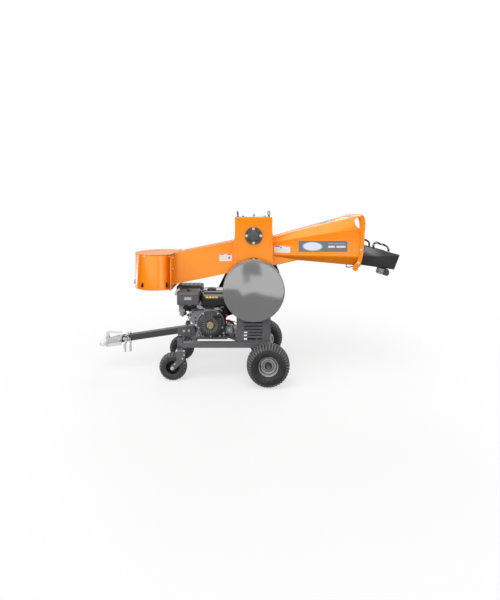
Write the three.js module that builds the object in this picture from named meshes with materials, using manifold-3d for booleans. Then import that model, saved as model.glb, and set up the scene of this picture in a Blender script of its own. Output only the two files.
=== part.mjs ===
// Towable twin-rotor wood chipper with a petrol engine, a folding infeed tray and a bag discharge.
// Millimetres, +Z up. In the layout frame zero is on the ground under the rear axle, +X points to
// the infeed, -X to the drawbar, -Y is the near (flywheel) side and +Y the far (belt) side.
// The whole machine is then moved by X_SHIFT, so the origin is at the middle of its length.
import * as THREE from "three";
import { mergeVertices } from "three/addons/utils/BufferGeometryUtils.js";
import Module from "manifold-3d";

const wasm = await Module();
wasm.setup();

// ---------------------------------------------------------------- driving dimensions
const X_SHIFT = 168.5;
const GAP = 0.3; // clearance between pieces that touch

// running gear
const REAR_R = 165, REAR_W = 127, REAR_Y = 285;
const FRONT_R = 110, FRONT_W = 65, FRONT_X = -748;
const SWIVEL_X = -694, STEM_R = 12.5, AXLE_R = 12.5, CASTER_BOLT_R = 8;
const TUBE = 40; // square tube of the chassis
const RAIL_X0 = -675, RAIL_X1 = 40, RAIL_Y = 185;
const RAIL_Z0 = 261, RAIL_Z1 = RAIL_Z0 + TUBE;
const PLATFORM_TOP = 316; // engine platform

// drawbar
const BAR = 50, BAR_WALL = 4, BAR_X0 = -1217, BAR_X1 = -603;
const BAR_SLOPE = 0.1495; // rise per mm of X
const barTop = (x) => 300 + (x + 1135) * BAR_SLOPE;

// pedestal
const PED_X0 = -246, PED_X1 = 27, PED_Y0 = -170, PED_Y1 = 156, PED_T = 5;

// drive line: the layshaft and both rotors stand above each other at SHAFT_X
const SHAFT_X = -109, JACK_Z = 715, LOW_Z = 897, UP_Z = 1142;
const ROTOR_SPACING = UP_Z - LOW_Z;
const CRANK_X = -455, CRANK_Z = 435;
const JACK_R = 20, ROTOR_SHAFT_R = 25;
const FLY_R = 215, FLY_Y0 = -225, FLY_Y1 = -197;
const PULLEY_BIG = 200, PULLEY_SMALL = 50, PULLEY_Y0 = 174, PULLEY_Y1 = 210;
const BELT_T = 8, BELT_GAP = 1.2;
const PINION_TEETH = 14, BULL_TEETH = 36, TIMING_TEETH = 22;
const DRIVE_MODULE = (2 * (LOW_Z - JACK_Z)) / (PINION_TEETH + BULL_TEETH);
const TIMING_MODULE = ROTOR_SPACING / TIMING_TEETH;
const TIMING_Y0 = 105, TIMING_Y1 = 119, BULL_Y0 = 123, BULL_Y1 = 139;
const ROTOR_R = 70, BLADE_R = 118, ROTOR_Y0 = -138, ROTOR_Y1 = 92;

// cutter box
const BOX_X0 = -260, BOX_X1 = 42, BOX_Y = 150, BOX_Z0 = 740, BOX_Z1 = 1288, BOX_T = 8;
const COVER_T = 5;

// infeed
const THROAT_X = BOX_X1, MOUTH_X = 744, SHEET = 4;
const PIVOT_X = 717, PIVOT_Z = 931; // tray hinge
const HOOP_Y = 206; // inner face of the hoop cheeks

// discharge
const CHUTE_Y = 90, CHUTE_X0 = -763, CHUTE_X1 = -266;
const HOOD_R = 200, HOOD_X = -900, HOOD_Z0 = 712, HOOD_Z1 = 990;
const FLANGE_Y = 213, FLANGE_T = 4;
const HOOD_FACE_X = CHUTE_X0 - FLANGE_T - GAP;

// ---------------------------------------------------------------- solids
const manifoldOf = (positions, indices) =>
  new wasm.Manifold(
    new wasm.Mesh({
      numProp: 3,
      vertProperties: new Float32Array(positions),
      triVerts: new Uint32Array(indices),
    }),
  );

const toSolid = (geometry) => {
  geometry.deleteAttribute("normal");
  geometry.deleteAttribute("uv");
  const merged = mergeVertices(geometry, 1e-4);
  return manifoldOf(merged.attributes.position.array, merged.index.array);
};

const toGeometry = (solid) => {
  const mesh = solid.getMesh();
  const geometry = new THREE.BufferGeometry();
  const positions = new Float32Array(mesh.vertProperties);
  geometry.setAttribute("position", new THREE.BufferAttribute(positions, 3));
  geometry.setIndex(new THREE.BufferAttribute(new Uint32Array(mesh.triVerts), 1));
  geometry.computeVertexNormals();
  return geometry;
};

const union = (...solids) => solids.reduce((sum, solid) => sum.add(solid));

// make(y0, y1) on both sides of the XZ plane, between the distances inner and outer
const pair = (inner, outer, make) => union(make(-outer, -inner), make(inner, outer));

const box = (x0, x1, y0, y1, z0, z1) => {
  const geometry = new THREE.BoxGeometry(x1 - x0, y1 - y0, z1 - z0);
  geometry.translate((x0 + x1) / 2, (y0 + y1) / 2, (z0 + z1) / 2);
  return toSolid(geometry);
};

const toVectors = (points) => points.map(([a, b]) => new THREE.Vector2(a, b));

const shapeOf = (points) => {
  const outline = toVectors(points);
  if (THREE.ShapeUtils.isClockWise(outline)) outline.reverse();
  return new THREE.Shape(outline);
};

const extrude = (points, depth) =>
  new THREE.ExtrudeGeometry(shapeOf(points), { depth, bevelEnabled: false, steps: 1 });

// outline of [x, z], extruded from y0 to y1
const prismY = (points, y0, y1) => {
  const geometry = extrude(points, y1 - y0);
  geometry.rotateX(Math.PI / 2);
  geometry.translate(0, y1, 0);
  return toSolid(geometry);
};

// outline of [x, y], extruded from z0 to z1
const prismZ = (points, z0, z1) => {
  const geometry = extrude(points, z1 - z0);
  geometry.translate(0, 0, z0);
  return toSolid(geometry);
};

const polar = (radius, angle) => [radius * Math.cos(angle), radius * Math.sin(angle)];

// count points from angle start on, step apart, about [centreA, centreB]
const arc = (centreA, centreB, radius, count, start, step) =>
  Array.from({ length: count }, (_, i) => {
    const [a, b] = polar(radius, start + i * step);
    return [centreA + a, centreB + b];
  });
const circle = (centreA, centreB, radius, count) =>
  arc(centreA, centreB, radius, count, 0, (2 * Math.PI) / count);

const cylinderY = (x, z, radius, y0, y1, sides = 24) =>
  prismY(circle(x, z, radius, sides), y0, y1);
const cylinderZ = (x, y, radius, z0, z1, sides = 24) =>
  prismZ(circle(x, y, radius, sides), z0, z1);
const cylinderX = (y, z, radius, x0, x1, sides) => {
  const geometry = new THREE.CylinderGeometry(radius, radius, x1 - x0, sides);
  geometry.rotateZ(Math.PI / 2);
  geometry.translate((x0 + x1) / 2, y, z);
  return toSolid(geometry);
};

// closed profile of [radius, y], turned about the Y axis; reversed if it comes out inside out
const latheY = (profile, segments) => {
  const turn = (points) => toSolid(new THREE.LatheGeometry(toVectors(points), segments));
  const closed = [...profile, profile[0]];
  const solid = turn(closed);
  return solid.volume() < 0 ? turn(closed.reverse()) : solid;
};

// closed body through rings of points [x, y, z]; flipped if it comes out inside out
const loft = (rings) => {
  const count = rings[0].length;
  const last = (rings.length - 1) * count;
  const faces = [];
  for (let start = 0; start < last; start += count)
    for (let i = 0; i < count; i++) {
      const here = start + i;
      const next = start + ((i + 1) % count);
      faces.push([here, next, next + count], [here, next + count, here + count]);
    }
  for (let i = 1; i + 1 < count; i++)
    faces.push([0, i + 1, i], [last, last + i, last + i + 1]);
  const build = (list) => manifoldOf(rings.flat(2), list.flat());
  const solid = build(faces);
  return solid.volume() < 0 ? build(faces.map(([a, b, c]) => [a, c, b])) : solid;
};

// loft through level rectangles, each [z, x0, x1, y0, y1]
const rectangleLoft = (levels) =>
  loft(levels.map(([z, x0, x1, y0, y1]) => [[x0, y0, z], [x1, y0, z], [x1, y1, z], [x0, y1, z]]));

// round bar along a smooth path
const roundBar = (points, radius, sides, steps, closed = false) => {
  const vectors = points.map((point) => new THREE.Vector3(...point));
  const extrudePath = new THREE.CatmullRomCurve3(vectors, closed, "centripetal");
  const section = shapeOf(circle(0, 0, radius, sides));
  return toSolid(new THREE.ExtrudeGeometry(section, { steps, bevelEnabled: false, extrudePath }));
};

// sphere with its poles on Z
const sphere = (radius, x, z, widthSegments) => {
  const geometry = new THREE.SphereGeometry(radius, widthSegments, 8);
  geometry.rotateX(Math.PI / 2);
  geometry.translate(x, 0, z);
  return toSolid(geometry);
};

// gear with thin trapezoid teeth; a tooth stands at angle start
const gear = (teeth, module, start, y0, y1) => {
  const pitchR = (teeth * module) / 2;
  const tipR = pitchR + 0.8 * module;
  const rootR = pitchR - 1.1 * module;
  const pitch = (2 * Math.PI) / teeth;
  const root = 0.27 * pitch;
  const tip = 0.11 * pitch;
  const points = [];
  for (let i = 0; i < teeth; i++)
    for (const [radius, angle] of [[rootR, -root], [tipR, -tip], [tipR, tip], [rootR, root]])
      points.push(polar(radius, start + i * pitch + angle));
  return prismY(points, y0, y1);
};

// ---------------------------------------------------------------- materials and groups
const MATERIALS = {
  orange: { color: 0xf5860a, roughness: 0.3, metalness: 0.05 },
  grey: { color: 0x5f5f60, roughness: 0.4, metalness: 0.2 },
  disc: { color: 0x8d8d8e, roughness: 0.25, metalness: 0.3 },
  black: { color: 0x242424, roughness: 0.5, metalness: 0.05 },
  rubber: { color: 0x2c2c2c, roughness: 0.85, metalness: 0 },
  steel: { color: 0x9a9a9c, roughness: 0.35, metalness: 0.9 },
  zinc: { color: 0xb9bcbe, roughness: 0.35, metalness: 0.85 },
  aluminium: { color: 0xa6a7a6, roughness: 0.45, metalness: 0.8 },
  iron: { color: 0x4a4a4c, roughness: 0.55, metalness: 0.6 },
  red: { color: 0xc01420, roughness: 0.35, metalness: 0 },
};

const subgroup = (parent, at = [0, 0, 0]) => {
  const child = new THREE.Group();
  child.position.set(...at);
  parent.add(child);
  return child;
};
const group = new THREE.Group();
const machine = subgroup(group, [X_SHIFT, 0, 0]);

const add = (parent, name, solid, material, at = [0, 0, 0]) => {
  const skin = new THREE.MeshStandardMaterial(MATERIALS[material]);
  const mesh = new THREE.Mesh(toGeometry(solid), skin);
  mesh.name = name;
  mesh.position.set(...at);
  parent.add(mesh);
  return mesh;
};

// ---------------------------------------------------------------- chassis
function chassisFrame() {
  const half = TUBE / 2;
  const rails = pair(RAIL_Y - half, RAIL_Y + half, (y0, y1) =>
    union(
      box(RAIL_X0, RAIL_X1, y0, y1, RAIL_Z0, RAIL_Z1),
      box(SWIVEL_X - half, SWIVEL_X + half, y0, y1, 241, 341), // swivel post
    ));
  const crossmembers = [
    [SWIVEL_X - half, SWIVEL_X + half],
    [-606, -576], // under the platform
    [-262, -232], // under the pedestal
    [RAIL_X1 - TUBE, RAIL_X1],
  ].map(([x0, x1]) => box(x0, x1, -190, 190, RAIL_Z0, RAIL_Z1));
  // engine platform [x, z], with a bent tail that drops towards the pedestal
  const platformY = 118;
  const platform = prismY([
    [-606, PLATFORM_TOP], [-318, PLATFORM_TOP], [-246, 292], [-246, 282],
    [-321, 307], [-597, 307], [-597, 290], [-606, 290],
  ], -platformY, platformY);
  const lips = pair(platformY - 8, platformY, (y0, y1) =>
    box(-600, -320, y0, y1, 296, PLATFORM_TOP));
  // bracket cheeks on both sides of the drawbar, [x, z]
  const cheekOutline = [
    [-745, barTop(-745) - 3], [-608, barTop(-608) - 3], [-590, 316],
    [-597, 290], [-714, 262], [-745, 300],
  ];
  const cheekY = BAR / 2 + GAP;
  const cheeks = pair(cheekY, cheekY + 6, (y0, y1) => prismY(cheekOutline, y0, y1));
  const bores = [-1, 1].map((side) =>
    cylinderZ(SWIVEL_X, side * RAIL_Y, STEM_R + 0.8, 200, 400));
  return union(rails, ...crossmembers, platform, lips, cheeks).subtract(union(...bores));
}

function axleBeam() {
  const plateTop = RAIL_Z0 - GAP;
  const plate = [
    [-146, 258], [-146, plateTop], [40, plateTop], [40, 250], [20, 150], [-20, 150], [-60, 190],
  ];
  return union(
    box(-TUBE / 2, TUBE / 2, -205, 205, 145, 185),
    pair(160, 166, (y0, y1) => prismY(plate, y0, y1)),
    pair(200, 343, (y0, y1) => cylinderY(0, REAR_R, AXLE_R, y0, y1)),
  );
}

// square tube, rising towards the machine
function drawbarTube() {
  const outer = prismY([
    [BAR_X0, barTop(BAR_X0)], [BAR_X1, barTop(BAR_X1)],
    [BAR_X1 + 7, barTop(BAR_X1) - BAR], [BAR_X0, barTop(BAR_X0) - BAR - 0.6],
  ], -BAR / 2, BAR / 2);
  const x0 = BAR_X0 - 5;
  const x1 = BAR_X1 + 9;
  const innerY = BAR / 2 - BAR_WALL;
  const inner = prismY([
    [x0, barTop(x0) - BAR_WALL], [x1, barTop(x1) - BAR_WALL],
    [x1, barTop(x1) - BAR + BAR_WALL], [x0, barTop(x0) - BAR + 3.4],
  ], -innerY, innerY);
  return outer.subtract(inner);
}

// neck with a domed ball socket, open underneath
function couplerBody() {
  const ballX = -1366;
  const ballZ = 222;
  const neck = loft([
    // x, half width, bottom, top
    [BAR_X0 - 0.4, 29, 232, 290],
    [-1300, 26, 222, 276],
    [-1352, 30, 212, 262],
  ].map(([x, y, z0, z1]) => [[x, -y, z0], [x, y, z0], [x, y, z1], [x, -y, z1]]));
  return sphere(40, ballX, ballZ, 16)
    .add(neck)
    .subtract(box(-1460, -1320, -60, 60, 150, 207))
    .subtract(sphere(25.6, ballX, ballZ, 12))
    .subtract(cylinderZ(ballX, 0, 24, 190, ballZ, 20))
    .add(pair(9, 14, (y0, y1) => box(-1358, -1332, y0, y1, 255, 288))); // lever ears
}

// latch lever between the ears: upright arm and a long grip
const couplerLever = () =>
  prismY([
    [-1356, 274], [-1334, 274], [-1338, 312], [-1236, 306], [-1236, 318], [-1352, 325],
  ], -8, 8);

// one closed loop over the drawbar, hanging below it
function safetyChain() {
  const path = [
    // x from the middle of the loop, y, z
    [0, -36, 300], [4, 0, 306], [0, 36, 300], [-8, 33, 220],
    [-4, 12, 158], [4, -12, 150], [10, -33, 215],
  ].map(([x, y, z]) => [-1180 + x, y, z]);
  return roundBar(path, 5.5, 6, 24, true);
}

// column under the cutter box, open above and below, with slots in its near wall
function pedestal() {
  const wall = (y0, y1) => box(SHAFT_X - 96, SHAFT_X + 96, y0, y1, 600, 800);
  const column = union(
    box(PED_X0, PED_X1, PED_Y0, PED_Y1, RAIL_Z1 + GAP, BOX_Z0 - GAP),
    wall(PED_Y0, PED_Y0 + PED_T),
    wall(PED_Y1 - PED_T, PED_Y1),
  );
  const hollow = box(
    PED_X0 + PED_T, PED_X1 - PED_T, PED_Y0 + PED_T, PED_Y1 - PED_T, 290, 830);
  // middle height, slot height
  const slots = [[448, 9], [420, 9], [394, 9], [370, 9], [347, 10], [318, 14]]
    .map(([z, height]) => box(-187, -38, -200, 0, z - height / 2, z + height / 2));
  const shaftHole = cylinderY(SHAFT_X, JACK_Z, 27, -200, 200, 20);
  return [hollow, ...slots, shaftHole].reduce((solid, cut) => solid.subtract(cut), column);
}

const chassis = subgroup(machine);
add(chassis, "chassis_frame", chassisFrame(), "grey");
add(chassis, "axle_beam", axleBeam(), "grey");
add(chassis, "drawbar_tube", drawbarTube(), "grey");
add(chassis, "coupler_body", couplerBody(), "zinc");
add(chassis, "coupler_lever", couplerLever(), "zinc");
add(chassis, "safety_chain", safetyChain(), "zinc");
add(chassis, "pedestal", pedestal(), "grey");

// ---------------------------------------------------------------- wheels
// hollow tyre, open at the bead
const tyre = (radius, width, bead, wall, segments) => {
  const innerR = radius * 0.9 - wall * 0.6;
  return latheY([
    [bead, -width * 0.36], [radius * 0.72, -width * 0.5], [radius * 0.86, -width * 0.46],
    [radius * 0.95, -width * 0.34], [radius, -width * 0.14],
    [radius, width * 0.14], [radius * 0.95, width * 0.34],
    [radius * 0.86, width * 0.46], [radius * 0.72, width * 0.5], [bead, width * 0.36],
    [bead, width * 0.36 - wall], [innerR, width * 0.34],
    [innerR, -width * 0.34], [bead, -width * 0.36 + wall],
  ], segments);
};

// rim with a thin web and a hub that stands out on both sides
const rim = (radius, width, bore, hub, segments) => {
  const half = width / 2;
  const hubY = half + 6;
  return latheY([
    [bore, -hubY], [hub, -hubY], [hub, -4], [radius - 12, -4], [radius, -half],
    [radius, half], [radius - 12, 4], [hub, 4], [hub, hubY], [bore, hubY],
  ], segments);
};

// about the swivel axis; wheelX is where the wheel bolt lies
function casterFork(wheelX) {
  const cheek = [
    [-30, 232], [46, 232], [46, 205], [34, 163], [wheelX + 14, 94],
    [wheelX - 2, 92], [wheelX - 17, 104], [wheelX - 14, 122], [-14, 180], [-30, 205],
  ];
  return union(
    box(-34, 46, -43, 43, 231, 239.5),
    pair(38, 43, (y0, y1) => prismY(cheek, y0, y1)),
    cylinderZ(0, 0, STEM_R, 235, 339, 20),
    cylinderZ(0, 0, 24, 231, 240.7, 20),
    cylinderY(wheelX, FRONT_R, CASTER_BOLT_R, -47, 47, 16),
  );
}

const wheels = subgroup(machine);
for (const [name, side] of [["near", -1], ["far", 1]]) {
  const hubAt = [0, side * REAR_Y, REAR_R];
  add(wheels, "rear_tyre_" + name, tyre(REAR_R, REAR_W, 79, 11, 26), "rubber", hubAt);
  add(wheels, "rear_rim_" + name, rim(78.3, 96, AXLE_R + 0.7, 27, 20), "steel", hubAt);

  const caster = subgroup(wheels, [SWIVEL_X, side * RAIL_Y, 0]);
  const wheelX = FRONT_X - SWIVEL_X;
  const wheelAt = [wheelX, 0, FRONT_R];
  add(caster, "caster_fork_" + name, casterFork(wheelX), "grey");
  add(caster, "front_tyre_" + name, tyre(FRONT_R, FRONT_W, 51, 8, 22), "rubber", wheelAt);
  add(caster, "front_rim_" + name, rim(50.3, 52, CASTER_BOLT_R + 0.6, 17, 16), "black", wheelAt);
}

// ---------------------------------------------------------------- drive line
// layshaft with the drive pinion cut on it
function jackshaft() {
  const start = Math.PI / 2 + Math.PI / PINION_TEETH;
  return union(
    cylinderY(0, 0, JACK_R, -231, 213),
    gear(PINION_TEETH, DRIVE_MODULE, start, BULL_Y0 - 1, BULL_Y1 + 1),
  );
}

const flywheel = () =>
  latheY([
    [JACK_R + 0.5, -229], [45, -229], [45, FLY_Y0 + 8], [175, FLY_Y0 + 6], [180, FLY_Y0],
    [FLY_R, FLY_Y0], [FLY_R, FLY_Y1], [45, FLY_Y1], [JACK_R + 0.5, -192],
  ], 28);

// both pulleys have a flat face
const drivenPulley = () =>
  latheY([
    [JACK_R + 0.5, PULLEY_Y0 - 3], [38, PULLEY_Y0 - 3], [38, 184], [182, 186],
    [182, PULLEY_Y0], [PULLEY_BIG, PULLEY_Y0], [PULLEY_BIG, PULLEY_Y1],
    [182, PULLEY_Y1], [182, 198], [JACK_R + 0.5, 200],
  ], 32);

const crankPulley = () =>
  latheY([
    [13.1, PULLEY_Y0 - 3], [30, PULLEY_Y0 - 3], [PULLEY_SMALL, PULLEY_Y0],
    [PULLEY_SMALL, PULLEY_Y1], [13.1, PULLEY_Y1],
  ], 28).add(cylinderY(0, 0, 13.4, 108, PULLEY_Y1, 16)); // with the crank end

// open belt loop round both pulleys
function driveBelt() {
  const bigSteps = 36;
  const smallSteps = 12;
  const dx = CRANK_X - SHAFT_X;
  const dz = CRANK_Z - JACK_Z;
  const base = Math.atan2(dz, dx);
  const outline = (offset) => {
    const bigR = PULLEY_BIG + offset;
    const smallR = PULLEY_SMALL + offset;
    const tangent = Math.acos((bigR - smallR) / Math.hypot(dx, dz));
    const bigStep = (2 * Math.PI - 2 * tangent) / bigSteps;
    const smallStep = (2 * tangent) / smallSteps;
    return [
      ...arc(SHAFT_X, JACK_Z, bigR, bigSteps + 1, base + tangent, bigStep),
      ...arc(CRANK_X, CRANK_Z, smallR, smallSteps + 1, base - tangent, smallStep),
    ];
  };
  return prismY(outline(BELT_GAP + BELT_T), PULLEY_Y0 + 1, PULLEY_Y1 - 1)
    .subtract(prismY(outline(BELT_GAP), 150, 230));
}

// square plate with a round boss
const jackshaftBearing = (plateY0, plateY1, bossY0, bossY1) =>
  union(box(-52, 52, plateY0, plateY1, -52, 52), cylinderY(0, 0, 38, bossY0, bossY1))
    .subtract(cylinderY(0, 0, JACK_R + 0.6, -260, 260));

// shallow drum, open towards the machine, on four lugs
function flywheelGuard() {
  let guard = latheY([
    [0, -240], [150, -238.5], [236, -236], [242.5, -231], [242.5, -184],
    [239.5, -184], [239.5, -230], [150, -235.5], [0, -237],
  ], 36);
  const lugZone = cylinderY(0, 0, 242.4, -190, -140, 36)
    .subtract(cylinderY(0, 0, 226, -200, -130));
  // lug middle x, machine-side y, bottom, top
  for (const [x, y1, z0, z1] of [
    [-124, PED_Y0 - GAP, -212, -190],
    [-116, -BOX_Y - GAP, 190, 218],
    [124, PED_Y0 - GAP, -212, -190],
    [116, -BOX_Y - GAP, 190, 218],
  ])
    guard = guard.add(box(x - 12, x + 12, -190, y1, z0, z1).intersect(lugZone));
  return guard;
}

// convex outline round a set of points
function convexOutline(points) {
  const sorted = [...points].sort((a, b) => a[0] - b[0] || a[1] - b[1]);
  const cross = (a, b, c) => (b[0] - a[0]) * (c[1] - a[1]) - (b[1] - a[1]) * (c[0] - a[0]);
  const halfOutline = (list) => {
    const kept = [];
    for (const point of list) {
      while (kept.length > 1 && cross(kept.at(-2), kept.at(-1), point) <= 0) kept.pop();
      kept.push(point);
    }
    kept.pop();
    return kept;
  };
  return [...halfOutline(sorted), ...halfOutline(sorted.reverse())];
}

// cover over both pulleys, open towards the machine, on four lugs
function beltGuard() {
  const wall = 3.5;
  const outline = (inset) =>
    convexOutline([
      ...circle(SHAFT_X, JACK_Z, 251 - inset, 24),
      ...circle(CRANK_X, CRANK_Z, 67 - inset, 16),
    ]);
  let guard = prismY(outline(0), 172.5, 228).subtract(prismY(outline(wall), 150, 228 - wall));
  const lugZone = prismY(outline(0), 140, 228);
  // lug x, lug z, wall it stands on
  for (const [x, z, wallY] of [
    [-235, 430, PED_Y1], [-30, 478, PED_Y1], [-213, 942, BOX_Y], [-35, 942, BOX_Y],
  ])
    guard = guard.add(box(x, x + 30, wallY + GAP, PULLEY_Y0, z, z + 24).intersect(lugZone));
  return guard;
}

const drive = subgroup(machine);
const layshaftAt = [SHAFT_X, 0, JACK_Z];
const nearPlateY = PED_Y0 - GAP;
const farPlateY = PED_Y1 + GAP;
const nearBearing = jackshaftBearing(nearPlateY - 9, nearPlateY, -188, nearPlateY);
const farBearing = jackshaftBearing(farPlateY, farPlateY + 8, farPlateY, 169);
add(drive, "jackshaft", jackshaft(), "steel", layshaftAt);
add(drive, "flywheel", flywheel(), "iron", layshaftAt);
add(drive, "driven_pulley", drivenPulley(), "iron", layshaftAt);
add(drive, "crank_pulley", crankPulley(), "iron", [CRANK_X, 0, CRANK_Z]);
add(drive, "drive_belt", driveBelt(), "rubber");
add(drive, "jackshaft_bearing_near", nearBearing, "iron", layshaftAt);
add(drive, "jackshaft_bearing_far", farBearing, "iron", layshaftAt);
add(drive, "flywheel_guard", flywheelGuard(), "disc", layshaftAt);
add(drive, "belt_guard", beltGuard(), "black");

// ---------------------------------------------------------------- cutter
function cutterBox() {
  const x0 = BOX_X0 + BOX_T;
  const x1 = BOX_X1 - BOX_T;
  const caseY1 = BOX_Y - BOX_T;
  const z0 = BOX_Z0 + BOX_T;
  const cuts = [
    box(x0, x1, -BOX_Y + BOX_T, 96, z0, BOX_Z1 + 10), // rotor chamber
    box(x0, x1, 102, caseY1, z0, BOX_Z1 + 10), // gear case
    box(SHAFT_X - 66, SHAFT_X + 66, 118, caseY1, BOX_Z0 - 10, BOX_Z0 + 20), // pinion opening
    box(BOX_X1 - 20, BOX_X1 + 10, -92, 92, 897, 1122), // infeed throat
    box(BOX_X0 - 10, BOX_X0 + 20, -86, 86, 846, 1088), // discharge throat
    ...[LOW_Z, UP_Z].map((z) => cylinderY(SHAFT_X, z, 31, -200, 200, 20)),
  ];
  const block = box(BOX_X0, BOX_X1, -BOX_Y, BOX_Y, BOX_Z0, BOX_Z1);
  return cuts.reduce((solid, cut) => solid.subtract(cut), block);
}

const cutterBoxCover = () => {
  const z0 = BOX_Z1 + GAP;
  return box(BOX_X0 + 2, BOX_X1 - 2, -BOX_Y + 2, BOX_Y - 2, z0, z0 + COVER_T);
};

// closed cap over the near end of a rotor shaft
function bearingCap() {
  const bore = ROTOR_SHAFT_R + 0.7;
  const footY = -BOX_Y - GAP;
  return latheY([
    [0, -178], [38, -178], [43.5, -172], [43.5, -162], [69.5, -161],
    [69.5, footY], [bore, footY], [bore, -170], [0, -170],
  ], 24);
}

// one plate for the far ends of both rotor shafts
const farBearingPlate = () =>
  [0, ROTOR_SPACING].reduce(
    (plate, z) => plate.subtract(cylinderY(0, z, ROTOR_SHAFT_R + 0.7, 120, 160)),
    box(-70, 70, BOX_Y + GAP, 164, -66, 66 + ROTOR_SPACING),
  );

// shaft, drum and three full-width knives
function rotor(start) {
  const knives = [0, 1, 2].map((i) => {
    const angle = start + (2 * Math.PI * i) / 3;
    const cos = Math.cos(angle);
    const sin = Math.sin(angle);
    // [distance from the axis, offset along the turning direction]
    const outline = [
      [40, -12], [BLADE_R - 14, -9], [BLADE_R - 1, 7], [BLADE_R - 8, 11], [40, 14],
    ].map(([radial, across]) => [radial * cos - across * sin, radial * sin + across * cos]);
    return prismY(outline, ROTOR_Y0, ROTOR_Y1);
  });
  return union(
    cylinderY(0, 0, ROTOR_SHAFT_R, -168, 158),
    cylinderY(0, 0, ROTOR_R, ROTOR_Y0, ROTOR_Y1),
    ...knives,
  );
}

const timingGear = (start) => gear(TIMING_TEETH, TIMING_MODULE, start, TIMING_Y0, TIMING_Y1);
const gearBore = () => cylinderY(0, 0, ROTOR_SHAFT_R + 0.5, 90, 150);

// the lower timing gear is joined by a hub to the large drive gear
const lowerGears = () =>
  union(
    timingGear(Math.PI / 2),
    cylinderY(0, 0, 60, TIMING_Y1 - 2, BULL_Y0 + 2),
    gear(BULL_TEETH, DRIVE_MODULE, -Math.PI / 2, BULL_Y0, BULL_Y1),
  ).subtract(gearBore());
// turned by half a tooth to mesh with the lower one
const upperGear = () =>
  timingGear(-Math.PI / 2 + Math.PI / TIMING_TEETH).subtract(gearBore());

// upright ring on a stud and collar, turned about Z
function liftingEye(turn) {
  const ring = new THREE.TorusGeometry(15, 4.5, 6, 12);
  ring.rotateX(Math.PI / 2);
  ring.rotateZ(turn);
  ring.translate(0, 0, 27.5);
  return union(toSolid(ring), cylinderZ(0, 0, 6, 2, 15, 10), cylinderZ(0, 0, 12, 0, 5, 12));
}

const cutter = subgroup(machine);
const upperAt = [SHAFT_X, 0, UP_Z];
const lowerAt = [SHAFT_X, 0, LOW_Z];
const eyeZ = BOX_Z1 + COVER_T + 2 * GAP;
add(cutter, "cutter_box", cutterBox(), "orange");
add(cutter, "cutter_box_cover", cutterBoxCover(), "grey");
add(cutter, "bearing_cap_upper", bearingCap(), "black", upperAt);
add(cutter, "bearing_cap_lower", bearingCap(), "black", lowerAt);
add(cutter, "far_bearing_plate", farBearingPlate(), "iron", lowerAt);
add(cutter, "lower_rotor", rotor(0.25), "iron", lowerAt);
add(cutter, "upper_rotor", rotor(-0.9), "iron", upperAt);
add(cutter, "timing_gear_lower", lowerGears(), "steel", lowerAt);
add(cutter, "timing_gear_upper", upperGear(), "steel", upperAt);
add(cutter, "lifting_eye_left", liftingEye(Math.PI / 2), "zinc", [-240, -20, eyeZ]);
add(cutter, "lifting_eye_right", liftingEye(0), "zinc", [22, -20, eyeZ]);

// ---------------------------------------------------------------- infeed
// eight-cornered section across X: top, upper bevels, sides, lower bevels, bottom
const octagon = (x, inset, { top, topY, sideTop, sideBottom, sideY, bottom, bottomY }) => {
  const half = [
    [topY - inset * 0.6, top - inset],
    [sideY - inset, sideTop - inset * 0.4],
    [sideY - inset, sideBottom + inset * 0.4],
    [bottomY - inset * 0.6, bottom + inset],
  ].map(([y, z]) => [x, y, z]);
  const mirrored = half.map(([, y, z]) => [x, -y, z]).reverse();
  return [mirrored[3], ...half, ...mirrored.slice(0, 3)];
};
const THROAT = {
  top: 1126, topY: 50, sideTop: 1091, sideBottom: 976, sideY: 100, bottom: 954, bottomY: 70,
};
const MOUTH = {
  top: 1308, topY: 168, sideTop: 1199, sideBottom: 976, sideY: 200, bottom: 900, bottomY: 150,
};
const throatRing = (x, inset) => octagon(x, inset, THROAT);
const mouthRing = (x, inset) => octagon(x, inset, MOUTH);
const blend = (from, to, fraction) =>
  from.map((point, i) => point.map((value, k) => value + (to[i][k] - value) * fraction));
const hingeHoles = (inner, outer, radius, sides) =>
  pair(inner, outer, (y0, y1) => cylinderY(PIVOT_X, PIVOT_Z, radius, y0, y1, sides));

function infeedFunnel() {
  const startX = THROAT_X + GAP;
  const outer = loft([throatRing(startX, 0), mouthRing(MOUTH_X, 0)]);
  // the hollow runs 3% past both ends
  const throatInner = throatRing(THROAT_X, SHEET);
  const mouthInner = mouthRing(MOUTH_X, SHEET);
  const inner = loft([
    blend(throatInner, mouthInner, -0.03), blend(throatInner, mouthInner, 1.03),
  ]);
  // drop floor under the throat, [x, z]
  const floor = prismY([[startX, 985], [startX, 893], [56, 893], [270, 941], [270, 985]], -96, 96);
  const floorInner = prismY([
    [THROAT_X - 30, 1000], [THROAT_X - 30, 897], [56, 897], [252, 941], [252, 1000],
  ], -92, 92);
  const flange = box(startX, startX + 5, -132, 132, 890, 1163);
  // hand holes in the upper bevels behind the hoop, [x, z]
  const handHole = [
    [690, 1262], [696, 1280], [712, 1290], [728, 1290], [728, 1211], [710, 1220], [695, 1240],
  ];
  return union(outer, floor, flange)
    .subtract(inner)
    .subtract(floorInner)
    .subtract(pair(150, 230, (y0, y1) => prismY(handHole, y0, y1)))
    .subtract(hingeHoles(140, 215, 8.5, 14));
}

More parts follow.
